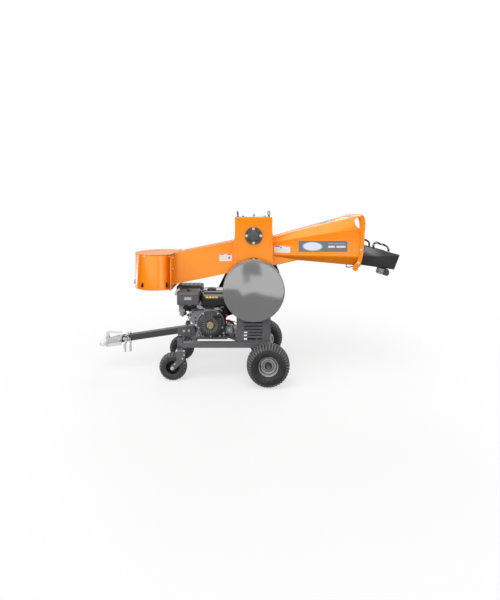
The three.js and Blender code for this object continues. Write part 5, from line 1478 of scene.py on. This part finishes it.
# oil filler plugs and drain
bm = bmesh.new()
lathe_bm(bm, [(0, 0), (10, 0), (10, 6), (14, 8), (14, 16), (12, 18), (4, 18), (4, 24), (0, 24)], 24, P(-372, -90, 352), Vector((0.3, -0.8, 0.5)))
obj_from("oil_plug", bm, PLASTIC, "machine", angle=30)
bm = bmesh.new()
hex_bolt(bm, P(-470, -86, 338), NEAR, 15, 8, 12)
hex_bolt(bm, P(-356, -86, 338), NEAR, 13, 8, 10)
obj_from("drain_bolts", bm, BOLT, "machine")

# blower housing with the recoil starter
bm = bmesh.new()
outline = [(CX + 106 * math.cos(a), CZ + 106 * math.sin(a)) for a in (math.radians(d) for d in range(-140, 96, 4))]
outline += [(-500, 545), (-560, 549), (-606, 546), (-622, 532), (-640, 486), (-641, 470), (-632, 458), (-560, 392)]
prism_bm(bm, outline, -88.4, -132)
obj_from("blower_shroud", bm, SHROUD, "machine", "fan_housing", bevel=0.006, segs=3, angle=25, slot="black_plastic")
bm = bmesh.new()
prof = [(0, -130), (105, -130), (106, -133), (106, -147)]
for k in range(7):
    t = math.pi / 2 * k / 6
    prof.append((98 + 7 * math.cos(t), -149 - 7 * math.sin(t)))
prof += [(93, -156.5), (91, -158)]
for k in range(7):
    t = math.pi / 2 * k / 6
    prof.append((78 + 12 * math.cos(t), -172 - 10 * math.sin(t)))
prof += [(74, -182.5), (72, -184), (70, -188.4), (68, -190), (40, -190.6), (37, -189), (34, -189), (0, -189)]
lathe_bm(bm, prof, 112, P(CX, 0, CZ), "Y")
obj_from("recoil_cover", bm, PLASTIC, "machine", angle=30, slot="black_plastic")
bm = bmesh.new()


def radial(bm, r0, r1, y0, y1, a, w0, w1, sweep=0.0, depth=6):
    c = P(CX, 0, CZ)
    vs = []
    for r, y, w, aa in ((r0, y0, w0, a), (r1, y1, w1, a + sweep)):
        d = Vector((math.cos(aa), 0, math.sin(aa)))
        sd = Vector((-math.sin(aa), 0, math.cos(aa)))
        for t in (-1, 1):
            for k in (0, 1):
                vs.append(bm.verts.new(c + d * r * 0.001 + sd * t * w * 0.0005 + Vector((0, (y + depth * k) * 0.001, 0))))
    for f in ((0, 1, 3, 2), (4, 6, 7, 5), (0, 4, 5, 1), (2, 3, 7, 6), (0, 2, 6, 4), (1, 5, 7, 3)):
        bm.faces.new([vs[i] for i in f])


for k in range(20):
    radial(bm, 42, 64, -193.4, -193.0, 2 * math.pi * k / 20, 3.2, 6.2, 0.10)
for k in range(26):
    radial(bm, 76, 92, -185.5, -168, 2 * math.pi * k / 26, 5.4, 6.6, 0.03, 10)
for k in range(3):
    radial(bm, 34, 92, -191.5, -178, 2 * math.pi * k / 3 + 0.5, 9, 11, 0.0, 8)
obj_from("recoil_louvres", bm, PLASTIC_LIGHT, "machine", bevel=0.0008)
bm = bmesh.new()
lathe_bm(bm, [(0, -189), (25.5, -189), (27, -191), (26.6, -194), (24.6, -195), (23.4, -193.6), (0, -193.6)], 48, P(CX, 0, CZ), "Y")
for k in range(6):
    radial(bm, 3, 21, -195.2, -195.2, math.pi / 3 * k + 0.26, 3, 5.5, 0.18, 3)
obj_from("recoil_badge", bm, BRASS, "machine", bevel=0.0006, angle=30)
bm = bmesh.new()
for k in range(5):
    a = 2 * math.pi * k / 5 + 0.95
    hex_bolt(bm, P(CX + 99.5 * math.cos(a), -155.4, CZ + 99.5 * math.sin(a)), NEAR, 8, 5, 7)
for x, z in ((-616, 527), (-628, 476), (-575, 416)):
    hex_bolt(bm, P(x, -132, z), NEAR, 10, 6, 9)
obj_from("recoil_bolts", bm, BOLT, "machine", slot="bright_steel")
# bright strips on the blower housing: a partial arc round the top of the rim and a strip down the slanted edge, both
# painted highlights
bm = bmesh.new()
tube_bm(bm, [P(CX + 107.4 * math.cos(a), -148, CZ + 107.4 * math.sin(a)) for a in (math.radians(d) for d in range(-8, 168, 4))], 2.2, 8)
tube_bm(bm, [P(-640, -112, 466), P(-600, -116, 424), P(-560, -118, 388), P(-536, -116, 350), P(-530, -112, 326)], 3.0, 8)
prism_bm(bm, [(-645, 474), (-640, 476), (-556, 396), (-532, 340), (-530, 322), (-537, 322), (-541, 340), (-562, 390)], -88, -122)
obj_from("shroud_rim_highlights", bm, ALU, "machine", angle=40)
# starter grip with its rope
bm = bmesh.new()
g = P(-396, -204, 508)
prof = [(0, -32), (5, -31.6), (7.6, -29), (8.6, -24), (7.4, -12), (7.0, 0), (7.4, 12), (8.6, 24), (7.6, 29), (5, 31.6), (0, 32)]
lathe_bm(bm, prof, 24, g, "X")
tube_bm(bm, [g + Vector((0, 0.0, 0)), g + Vector((-0.012, 0.02, -0.02))], 3, 8)
obj_from("starter_handle", bm, GRIP, "recoil", "starter_grip", angle=40, slot="black_plastic")

# fuel tank: two pressings with a rolled seam
bm = bmesh.new()
hx, hy, cx, cy = 125, 78, -413, -64
secs = [(572, hx - 20, hy - 20, 22), (576, hx - 9, hy - 9, 28), (584, hx - 3, hy - 3, 32), (596, hx, hy, 34), (631, hx, hy, 34), (632, hx + 3.2, hy + 3.2, 36), (636.5, hx + 3.2, hy + 3.2, 36), (637.5, hx, hy, 34),
        (668, hx, hy, 34), (680, hx - 1.5, hy - 1.5, 33), (688, hx - 5, hy - 5, 30), (693.5, hx - 11, hy - 11, 26), (696.4, hx - 20, hy - 20, 20), (697, hx - 30, hy - 30, 14)]
loft_z(bm, secs, cx, cy)
obj_from("tank_shell", bm, TANK, "machine", "fuel_tank", angle=40, slot="tank_enamel")
bm = bmesh.new()
lathe_bm(bm, [(0, 0), (24, 0), (24, 2.5), (21, 4), (0, 4)], 36, P(-453, -84, 696.4), "Z")
obj_from("tank_neck", bm, BLACK_PAINT, "machine", angle=30)
bm = bmesh.new()
c = P(-453, -84, 697.5)
lathe_bm(bm, [(0, 0.6), (34, 0.6), (35.6, 2), (35.6, 6.4), (33.5, 8.2), (28, 8.8), (12, 9.0), (10, 9.8), (0, 10)], 48, c, "Z")
for k in range(24):
    a = 2 * math.pi * k / 24
    lathe_bm(bm, [(0, 1.6), (1.6, 1.6), (1.6, 6.6), (0, 7)], 8, c + Vector((math.cos(a) * 0.0354, math.sin(a) * 0.0354, 0)), "Z")
box_bm(bm, -471, -435, -88, -80, 705, 710)
obj_from("fuel_cap_knurled", bm, PLASTIC, "cap", "fuel_cap", angle=30, slot="black_plastic")
# plain stripe on the tank's front, its brackets and hose
bm = bmesh.new()
for x0, x1 in ((-494, -476), (-468, -452), (-442, -427), (-417, -402)):
    prism_bm(bm, [(x0 + 3, 634), (x1 - 1, 634), (x1 + 3, 643), (x1, 652), (x0 - 1, 652), (x0 - 3, 643)], -142.8, -141.6)
obj_from("tank_stripe", bm, YELLOW, "machine", smooth=False)
bm = bmesh.new()
for x in (-520, -316):
    prism_bm(bm, [(x - 10, 600), (x + 10, 600), (x + 8, 540), (x - 8, 540)], -30, -26)
    prism_bm(bm, [(x - 10, 600), (x + 10, 600), (x + 8, 540), (x - 8, 540)], 60, 64)
obj_from("tank_brackets", bm, BLACK_PAINT, "machine", bevel=0.001)
bm = bmesh.new()
tube_bm(bm, smooth_path([P(-520, -112, 576), P(-540, -112, 566), P(-580, -114, 557), P(-640, -110, 552), P(-664, -100, 540)], 8), 3.6, 10)
obj_from("fuel_hose", bm, GRIP, "machine", angle=60)

# air cleaner: box with a stepped lid, wing nut and blank plate
bm = bmesh.new()
cx, cy, hx, hy = -636, -84.5, 90, 80.5
secs = [(586, hx - 5, hy - 5, 8), (590, hx - 1, hy - 1, 10), (596, hx, hy, 11), (660, hx, hy, 11), (661, hx - 2.5, hy - 2.5, 10), (664, hx - 2.5, hy - 2.5, 10), (665, hx, hy, 11), (672, hx, hy, 12), (680, hx - 3, hy - 7, 12), (686, hx - 7, hy - 13, 12), (689, hx - 12, hy - 20, 10), (689.6, hx - 20, hy - 28, 8)]
loft_z(bm, secs, cx, cy)
obj_from("air_cleaner_case", bm, PLASTIC_GREY, "machine", "air_cleaner", angle=32, slot="black_plastic")
bm = bmesh.new()
lathe_bm(bm, [(0, 0), (11, 0), (12, 2), (9, 7), (5, 10), (5, 14), (0, 15)], 24, P(-640, -120, 686), "Z")
box_bm(bm, -656, -624, -122, -118, 694, 702)
for k in range(5):
    box_bm(bm, -724.5 + 0.0, -722, -150 + k * 28, -136 + k * 28, 600, 652)
box_bm(bm, -549, -543.6, -140, -30, 604, 650)
obj_from("air_cleaner_details", bm, GRIP, "machine", bevel=0.001)
LBL3 = label("blank_plate", [(0.04, 0.96, 0.46, 0.54, rgb(110, 110, 112))], rgb(186, 186, 188))
plate("air_cleaner_plate", [P(-664, -165.2, 629), P(-608, -165.2, 629), P(-608, -165.2, 651), P(-664, -165.2, 651)], NEAR, LBL3)
bm = bmesh.new()
lathe_bm(bm, [(0, 0), (4.6, 0), (4.6, 3), (0, 3.4)], 16, P(-654, -160.8, 674), NEAR)
obj_from("air_cleaner_screw", bm, GRIP, "machine")

# carburettor, choke and governor linkage
bm = bmesh.new()
box_bm(bm, -712, -668, -134, -66, 520, 586)
for k in range(5):
    box_bm(bm, -716, -672, -138, -62, 528 + k * 11, 532 + k * 11)
lathe_bm(bm, [(0, 0), (23, 0), (25, 3), (25, 26), (20, 31), (8, 33), (8, 38), (0, 38)], 32, P(-688, -104, 520), DOWN)
obj_from("carburettor_body", bm, ALU, "machine", "carburettor", bevel=0.0012, slot="cast_aluminium")
bm = bmesh.new()
lathe_bm(bm, [(0, 0), (7, 0), (7, 3), (4, 4), (4, 12), (0, 12)], 16, P(-706, -134, 508), NEAR)
hex_bolt(bm, P(-690, -104, 481), DOWN, 10, 5, 8)
hex_bolt(bm, P(-696, -136, 536), NEAR, 8, 5, 6)
obj_from("control_rods", bm, BOLT, "machine", angle=40)
bm = bmesh.new()
tube_bm(bm, [P(-674, -144.5, 564), P(-620, -145, 562), P(-552, -146, 556)], 3.8, 8)
tube_bm(bm, [P(-664, -144.5, 536), P(-600, -145, 540), P(-512, -146, 548)], 3.8, 8)
box_bm(bm, -678, -660, -148, -141, 552, 572)
# dark discs on the shroud face where it has holes: painted shade of the recesses
for x, z, r in ((-581, 478, 6), (-580, 446, 7), (-560, 420, 5), (-604, 520, 5), (-618, 500, 4.5)):
    lathe_bm(bm, [(0, -132), (r, -132), (r, -133.4), (0, -133.8)], 18, P(x, 0, z), "Y")
obj_from("linkage_bars_and_hole_shade", bm, GRIP, "machine", angle=40)
bm = bmesh.new()
box_bm(bm, -668, -640, -121, -92, 530, 580)
lathe_bm(bm, [(0, 0), (15, 0), (15, 12), (12, 16), (0, 16)], 24, P(-668, -112, 508), NEAR)
lathe_bm(bm, [(0, 0), (9, 0), (9, 22), (0, 22)], 18, P(-640, -118, 498), NEAR)
prism_bm(bm, [(-652, 566), (-540, 568), (-540, 556), (-640, 550)], -121.5, -118)
obj_from("choke_block", bm, PLASTIC, "machine", bevel=0.0015, angle=32)
bm = bmesh.new()
prism_bm(bm, [(-570, 588), (-552, 596), (-536, 578), (-524, 560), (-540, 548), (-566, 552)], -146, -142)
prism_bm(bm, [(-540, 562), (-505, 560), (-500, 548), (-536, 546)], -147, -143)
lathe_bm(bm, [(0, 0), (10, 0), (10, 5), (6, 7), (0, 7)], 20, P(-528, -146, 562), NEAR)
obj_from("control_bracket", bm, ALU, "machine", bevel=0.0008)
bm = bmesh.new()
for a, b in (((-425, 552), (-372, 548)), ((-398, 556), (-360, 532)), ((-380, 560), (-352, 566))):
    tube_bm(bm, [P(a[0], -138, a[1]), P(b[0], -136, b[1])], 3.0, 8)
prism_bm(bm, [(-430, 556), (-395, 562), (-378, 546), (-400, 538), (-424, 544)], -141, -137)
obj_from("governor_bits", bm, ALU, "machine", bevel=0.0008, angle=40)
# throttle lever
bm = bmesh.new()
O2 = P(-598, -130, 566)
def TL(x, y, z):
    return O2 + Vector((x, y, z)) * 0.001
for s in (0,):
    pts = [(-6, -6), (6, -6), (7, 3), (3, 7), (-44, 11), (-52, 9), (-55, 3), (-52, -2), (-44, -3)]
    lo = [bm.verts.new(TL(a, -2, b)) for a, b in pts]
    hi = [bm.verts.new(TL(a, 2, b)) for a, b in pts]
    bm.faces.new(lo)
    bm.faces.new(hi[::-1])
    for i in range(len(pts)):
        j = (i + 1) % len(pts)
        bm.faces.new((lo[i], hi[i], hi[j], lo[j]))
lathe_bm(bm, [(0, -4), (7.5, -4), (7.5, 6), (0, 6)], 20, TL(0, 0, 0), "Y")
lathe_bm(bm, [(0, -9), (6, -9), (8, -7), (8, 4), (6, 6), (0, 6)], 20, TL(-50, 0, 3), "Y")
obj_from("throttle_arm", bm, PLASTIC, "throttle", "throttle_lever", bevel=0.0008, slot="black_plastic")

# muffler with its polished shell and slotted guard
bm = bmesh.new()
cx, cy, hx, hy = -662.5, 66, 93, 58
loft_z(bm, [(600, hx - 16, hy - 10, 16), (606, hx - 7, hy - 5, 22), (618, hx - 2, hy - 1, 26), (640, hx, hy, 28), (643, hx + 3, hy + 2, 30), (647, hx + 3, hy + 2, 30), (650, hx, hy, 28), (672, hx - 2, hy - 1, 26), (683, hx - 8, hy - 6, 22), (688, hx - 16, hy - 14, 16)], cx, cy)
tube_bm(bm, smooth_path([P(-620, 40, 604), P(-622, 40, 588), P(-632, 36, 566), P(-645, 30, 548)], 6), 14, 16)
obj_from("muffler_shell", bm, CHROME, "machine", "muffler", angle=32, slot="bright_steel")
bm = bmesh.new()
# curved bright heat duct seen at the cleaner's shoulder
pts = []
for k in range(13):
    a = math.radians(100 + 92 * k / 12)
    pts.append((-713 + 50 * math.cos(a), 650 + 50 * math.sin(a)))
inn = [(-713 + 32 * math.cos(math.radians(100 + 92 * k / 12)), 650 + 32 * math.sin(math.radians(100 + 92 * k / 12))) for k in range(12, -1, -1)]
prism_bm(bm, pts + inn, -66, -3)
obj_from("cleaner_duct", bm, CHROME, "machine", bevel=0.002, angle=35)
gd = bmesh.new()
GX0, GX1, GY0, GY1 = -764, -544, 0, 134
loft_z(gd, [(640, (GX1 - GX0) / 2, (GY1 - GY0) / 2, 16), (690, (GX1 - GX0) / 2, (GY1 - GY0) / 2, 16), (699, (GX1 - GX0) / 2 - 3, (GY1 - GY0) / 2 - 3, 15), (705, (GX1 - GX0) / 2 - 9, (GY1 - GY0) / 2 - 9, 12), (707, (GX1 - GX0) / 2 - 17, (GY1 - GY0) / 2 - 17, 9)], (GX0 + GX1) / 2, (GY0 + GY1) / 2)
inner_b = bmesh.new()
loft_z(inner_b, [(630, (GX1 - GX0) / 2 - 3, (GY1 - GY0) / 2 - 3, 14), (690, (GX1 - GX0) / 2 - 3, (GY1 - GY0) / 2 - 3, 14), (700, (GX1 - GX0) / 2 - 10, (GY1 - GY0) / 2 - 10, 12), (703.5, (GX1 - GX0) / 2 - 18, (GY1 - GY0) / 2 - 18, 9)], (GX0 + GX1) / 2, (GY0 + GY1) / 2)
slots = []
for k in range(6):
    sl = bmesh.new()
    x = -742 + k * 36
    box_bm(sl, x, x + 24, -10, 20, 655, 664)
    slots.append(sl)
for k in range(6):
    for j in range(3):
        sl = bmesh.new()
        x = -742 + k * 36
        box_bm(sl, x, x + 22, 24 + j * 34, 40 + j * 34, 700, 720)
        slots.append(sl)
gd = cut(gd, inner_b, *slots)
obj_from("muffler_guard_shell", gd, PLASTIC_GREY, "machine", "muffler_guard", angle=35, slot="black_plastic")

# electric starter, solenoid, terminals and lead
bm = bmesh.new()
c = P(-306, 0, 372)
lathe_bm(bm, [(0, -112), (12, -112), (14, -110), (30, -110), (34, -107), (36, -102), (36, -92), (35, -90), (35, -8), (36, -6), (36, 8), (33, 10), (0, 10)], 48, c, "Y")
lathe_bm(bm, [(0, -104), (11, -104), (13, -101), (13, -34), (10, -30), (0, -30)], 32, P(-313, 0, 418), "Y")
obj_from("starter_barrel", bm, ALU, "machine", "starter_motor", angle=30, slot="cast_iron")
bm = bmesh.new()
box_bm(bm, -325, -297, -96, -34, 392, 412)
lathe_bm(bm, [(24, -113.5), (35, -113.5), (37.4, -111), (37.4, -104), (24, -104)], 40, c, "Y", closed=True)
prism_bm(bm, [(-345, 340), (-268, 340), (-268, 330), (-345, 322)], -70, -20)
lathe_bm(bm, [(0, 0), (9, 0), (9, 10), (0, 10)], 16, P(-330, -106, 394), NEAR)
obj_from("starter_brackets", bm, ALU_DARK, "machine", bevel=0.0012, angle=32)
bm = bmesh.new()
for x, z in ((-326, 396), (-286, 352), (-330, 350), (-290, 398)):
    hex_bolt(bm, P(x, -110, z), NEAR, 8, 6, 6)
lathe_bm(bm, [(0, 0), (9, 0), (9, 5), (6, 7), (0, 7)], 20, P(-306, -112, 372), NEAR)
box_bm(bm, -300, -276, -108, -100, 404, 416)
box_bm(bm, -274, -252, -96, -64, 366, 400)
box_bm(bm, -270, -249, -92, -70, 338, 352)
lathe_bm(bm, [(0, 0), (11, 0), (11, 8), (7, 10), (0, 10)], 24, P(-262, -96, 384), NEAR)
obj_from("starter_studs", bm, BOLT, "machine", bevel=0.0008)
bm = bmesh.new()
for x, z in ((-329, 488), (-323, 440)):
    lathe_bm(bm, [(0, -11), (7, -11), (8.6, -8), (8.6, 6), (6, 11), (0, 12)], 20, P(x, -104, z), "Z")
obj_from("terminal_boots", bm, RED, "machine", angle=32)
bm = bmesh.new()
tube_bm(bm, smooth_path([P(-329, -104, 480), P(-338, -102, 462), P(-334, -100, 446), P(-326, -100, 436), P(-318, -100, 428)], 6), 3.4, 10)
tube_bm(bm, smooth_path([P(-323, -106, 446), P(-300, -120, 449), P(-276, -130, 446), P(-250, -136, 441), P(-243, -138, 440)], 8), 3.0, 10)
tube_bm(bm, smooth_path([P(-329, -104, 496), P(-320, -96, 520), P(-330, -60, 548), P(-350, -20, 560)], 8), 3.4, 10)
prism_bm(bm, [(-374, 560), (-330, 566), (-330, 500), (-346, 452), (-376, 466)], -92, -40)
obj_from("starter_leads", bm, GRIP, "machine", angle=50)


# ---------------------------------------------------------------- camera, stage and light
STRIP, FLOOR_ALB, WORLD_DIFF, WORLD_FRONT = 1.9, 0.42, 0.38, 0.95


def studio():
    sc = bpy.context.scene
    cam_data = bpy.data.cameras.new("camera")
    cam = bpy.data.objects.new("camera", cam_data)
    sc.collection.objects.link(cam)
    sc.camera = cam
    cam.location = (0.011, -2.935, 1.362)
    cam.rotation_euler = (math.pi / 2, 0, 0)
    cam_data.lens = 20.742
    cam_data.sensor_width = 36
    cam_data.shift_x = 0.004
    cam_data.shift_y = -0.1525
    d = cam_data.driver_add("shift_y").driver
    d.type = "SCRIPTED"
    for nm, tt in (("y", "LOC_Y"), ("z", "LOC_Z")):
        v = d.variables.new()
        v.name, v.type = nm, "TRANSFORMS"
        v.targets[0].id = cam
        v.targets[0].transform_type = tt
        v.targets[0].transform_space = "WORLD_SPACE"
    d.expression = "-0.1525 if (abs(y + 2.935) < 0.001 and abs(z - 1.362) < 0.001) else 0.0"

    bm = bmesh.new()
    lim = 30
    n = 30
    g = [[bm.verts.new((-lim + 2 * lim * i / n, -lim + 2 * lim * j / n, -0.0005)) for j in range(n + 1)] for i in range(n + 1)]
    for i in range(n):
        for j in range(n):
            bm.faces.new((g[i][j], g[i + 1][j], g[i + 1][j + 1], g[i][j + 1]))
    me = bpy.data.meshes.new("floor")
    bm.to_mesh(me)
    bm.free()
    floor = bpy.data.objects.new("floor", me)
    sc.collection.objects.link(floor)
    m = Mat("floor_paper")
    t = m.t
    out = t.nodes["Material Output"]
    sepn = m.node("ShaderNodeSeparateXYZ")
    m.link(m.co, sepn.inputs[0])
    fx, fy = sepn.outputs["X"], sepn.outputs["Y"]
    # seen by the camera: paper that runs out into the white of the backdrop
    m.link(m.ramp(m.noise(0.8, 4), [(0.3, rgb(238, 238, 238)), (0.7, rgb(243, 243, 243))]), m.b.inputs["Base Color"])
    m.b.inputs["Roughness"].default_value = 0.95
    m.b.inputs["Specular IOR Level"].default_value = 0.05
    dist = m.node("ShaderNodeVectorMath", operation="LENGTH")
    m.link(m.co, dist.inputs[0])
    fade = m.node("ShaderNodeMapRange", interpolation_type="SMOOTHSTEP")
    fade.inputs["From Min"].default_value, fade.inputs["From Max"].default_value = 0.9, 2.6
    fade.inputs["To Min"].default_value, fade.inputs["To Max"].default_value = 0.6, 1.0
    m.link(dist.outputs["Value"], fade.inputs["Value"])
    white = m.node("ShaderNodeEmission")
    white.inputs["Color"].default_value, white.inputs["Strength"].default_value = (1, 1, 1, 1), 1.0
    seen = m.node("ShaderNodeMixShader")
    m.link(fade.outputs["Result"], seen.inputs[0])
    m.link(m.b.outputs[0], seen.inputs[1])
    m.link(white.outputs[0], seen.inputs[2])
    # seen in reflections: dark near the set, a bright band farther out in front
    wav = m.mapr(m.noise(1.5, 2), -0.55, 0.55)
    edge_x = m.mapr(fx, 0.0, 1.0, -0.4, 0.6)
    prof = m.ramp(edge_x, [(0.0, (0.10, 0.10, 0.10, 1)), (0.22, (0.18, 0.18, 0.18, 1)), (0.325, (0.66, 0.66, 0.66, 1)), (0.41, (0.46, 0.46, 0.46, 1)), (0.50, (0.42, 0.42, 0.42, 1)), (0.66, (0.56, 0.56, 0.56, 1)), (0.92, (0.72, 0.72, 0.72, 1))])
    yy = m.math("SUBTRACT", fy, m.math("ADD", prof, m.math("MULTIPLY", wav, 0.12)))

    def band(src, a, b, lo=0.0, hi=1.0):
        r = m.node("ShaderNodeMapRange", interpolation_type="SMOOTHSTEP")
        r.inputs["From Min"].default_value, r.inputs["From Max"].default_value = a, b
        r.inputs["To Min"].default_value, r.inputs["To Max"].default_value = lo, hi
        m.link(src, r.inputs["Value"])
        return r.outputs["Result"]

    far = band(yy, -3.44, -3.62)
    end = band(fy, -14.0, -9.0)
    back = band(fy, 2.0, 5.0)
    # a dark flag standing off to the right, and a bright window far to the left
    flag = m.math("MULTIPLY", band(fx, 1.3, 1.9), band(fy, -7.5, -6.5))
    strip = m.math("MULTIPLY", m.math("MULTIPLY", far, end), m.math("SUBTRACT", 1.0, flag))
    window = m.math("MULTIPLY", band(fx, -3.0, -3.8), m.math("MULTIPLY", band(fy, 1.5, 1.9), band(fy, 3.3, 2.9)))
    strip = m.math("ADD", strip, m.math("MULTIPLY", window, 2.2))
    # a light stand in the way
    blot = m.math("MULTIPLY", m.math("MULTIPLY", band(fx, -0.17, -0.12), band(fx, 0.38, 0.30)), m.math("MULTIPLY", band(fy, -8.2, -7.2), band(fy, -4.8, -5.05)))
    leg = m.math("MULTIPLY", m.math("MULTIPLY", band(fx, -0.13, -0.09), band(fx, 0.07, 0.02)), m.math("MULTIPLY", band(fy, -5.4, -5.1), band(fy, -3.6, -4.3)))
    stand = m.math("SUBTRACT", 1.0, m.math("MULTIPLY", m.math("ADD", m.math("MULTIPLY", blot, 1.0), m.math("MULTIPLY", leg, 0.7), clamp=True), 0.95))
    glow = m.math("MULTIPLY", strip, stand)
    lvl = m.math("ADD", m.math("ADD", m.math("MULTIPLY", glow, STRIP), m.math("MULTIPLY", back, 0.8)), 0.09)
    refl = m.node("ShaderNodeEmission")
    refl.inputs["Color"].default_value = (1, 1, 1, 1)
    m.link(lvl, refl.inputs["Strength"])
    # seen by diffuse light: soft grey, so that little light comes back up
    dull = m.node("ShaderNodeBsdfDiffuse")
    m.link(m.ramp(m.noise(0.8, 2), [(0.3, (FLOOR_ALB, FLOOR_ALB, FLOOR_ALB, 1)), (0.7, (FLOOR_ALB + 0.02, FLOOR_ALB + 0.02, FLOOR_ALB + 0.02, 1))]), dull.inputs["Color"])
    lp0 = m.node("ShaderNodeLightPath")
    m1 = m.node("ShaderNodeMixShader")
    m.link(lp0.outputs["Is Glossy Ray"], m1.inputs[0])
    m.link(dull.outputs[0], m1.inputs[1])
    m.link(refl.outputs[0], m1.inputs[2])
    m2 = m.node("ShaderNodeMixShader")
    m.link(lp0.outputs["Is Camera Ray"], m2.inputs[0])
    m.link(m1.outputs[0], m2.inputs[1])
    m.link(seen.outputs[0], m2.inputs[2])
    m.link(m2.outputs[0], out.inputs["Surface"])
    me.materials.append(m.m)

    world = bpy.data.worlds.new("studio")
    sc.world = world
    world.use_nodes = True
    nt = world.node_tree
    bg = nt.nodes["Background"]
    bg.inputs["Color"].default_value = (1, 1, 1, 1)
    bg.inputs["Strength"].default_value = 1.0

    def wn(kind, **props):
        q = nt.nodes.new(kind)
        for k, v in props.items():
            setattr(q, k, v)
        return q

    tc = wn("ShaderNodeTexCoord")
    sep = wn("ShaderNodeSeparateXYZ")
    nt.links.new(tc.outputs["Generated"], sep.inputs[0])

    def wr(src, a, b, lo, hi):
        r = wn("ShaderNodeMapRange", interpolation_type="SMOOTHSTEP")
        r.inputs["From Min"].default_value, r.inputs["From Max"].default_value = a, b
        r.inputs["To Min"].default_value, r.inputs["To Max"].default_value = lo, hi
        nt.links.new(src, r.inputs["Value"])
        return r.outputs["Result"]

    def wm(op, a, b):
        q = wn("ShaderNodeMath", operation=op)
        for sock, v in ((q.inputs[0], a), (q.inputs[1], b)):
            if hasattr(v, "links"):
                nt.links.new(v, sock)
            else:
                sock.default_value = v
        return q.outputs[0]

    lp = wn("ShaderNodeLightPath")
    dz, dy, dx = sep.outputs["Z"], sep.outputs["Y"], sep.outputs["X"]
    behind = wm("MULTIPLY", wr(dy, 0.0, 0.35, 0.0, 1.0), wr(dz, 0.15, 0.21, 0.25, 1.15))
    lvl = wm("ADD", wm("ADD", behind, wr(dz, 0.22, 0.7, 0.0, 0.3)), wr(dx, -0.45, -0.95, 0.0, 0.5))
    lvl = wm("ADD", lvl, 0.12)
    # diffuse light: strongest from the front, weaker from the right
    dif = wm("MULTIPLY", wr(dy, 0.2, -0.8, 0.0, 1.0), wr(dx, 0.1, 0.8, 1.0, 0.45))
    dif = wm("ADD", wm("MULTIPLY", dif, WORLD_FRONT), WORLD_DIFF)
    gl = wn("ShaderNodeBackground")
    gl.inputs["Color"].default_value = (1, 1, 1, 1)
    nt.links.new(lvl, gl.inputs["Strength"])
    df = wn("ShaderNodeBackground")
    df.inputs["Color"].default_value = (1, 1, 1, 1)
    nt.links.new(dif, df.inputs["Strength"])
    a1 = wn("ShaderNodeMixShader")
    nt.links.new(lp.outputs["Is Glossy Ray"], a1.inputs[0])
    nt.links.new(df.outputs[0], a1.inputs[1])
    nt.links.new(gl.outputs[0], a1.inputs[2])
    a2 = wn("ShaderNodeMixShader")
    nt.links.new(lp.outputs["Is Camera Ray"], a2.inputs[0])
    nt.links.new(a1.outputs[0], a2.inputs[1])
    nt.links.new(bg.outputs[0], a2.inputs[2])
    nt.links.new(a2.outputs[0], nt.nodes["World Output"].inputs["Surface"])

    def area(name, loc, target, size, power, size_y=None, col=(1, 1, 1)):
        ld = bpy.data.lights.new(name, "AREA")
        ld.energy, ld.size, ld.color = power, size, col
        if size_y:
            ld.shape, ld.size_y = "RECTANGLE", size_y
        o = bpy.data.objects.new(name, ld)
        sc.collection.objects.link(o)
        o.location = loc
        o.rotation_euler = (Vector(target) - Vector(loc)).to_track_quat("-Z", "Y").to_euler()
        return o

    area("key_top", (-0.4, -1.9, 4.2), (0, 0, 0.6), 3.4, 58, 3.0)
    area("fill_left", (-4.0, -2.2, 2.0), (0, 0, 0.7), 2.2, 45, 2.2)
    area("fill_right", (4.6, -0.9, 1.7), (0, 0, 0.8), 1.6, 40, 2.0)
    area("back_top", (0.0, 3.4, 3.4), (0, 0, 0.6), 3.4, 50, 2.2)

    sc.view_settings.view_transform = "Standard"
    sc.view_settings.look = "None"
    sc.view_settings.exposure = 0.0


studio()
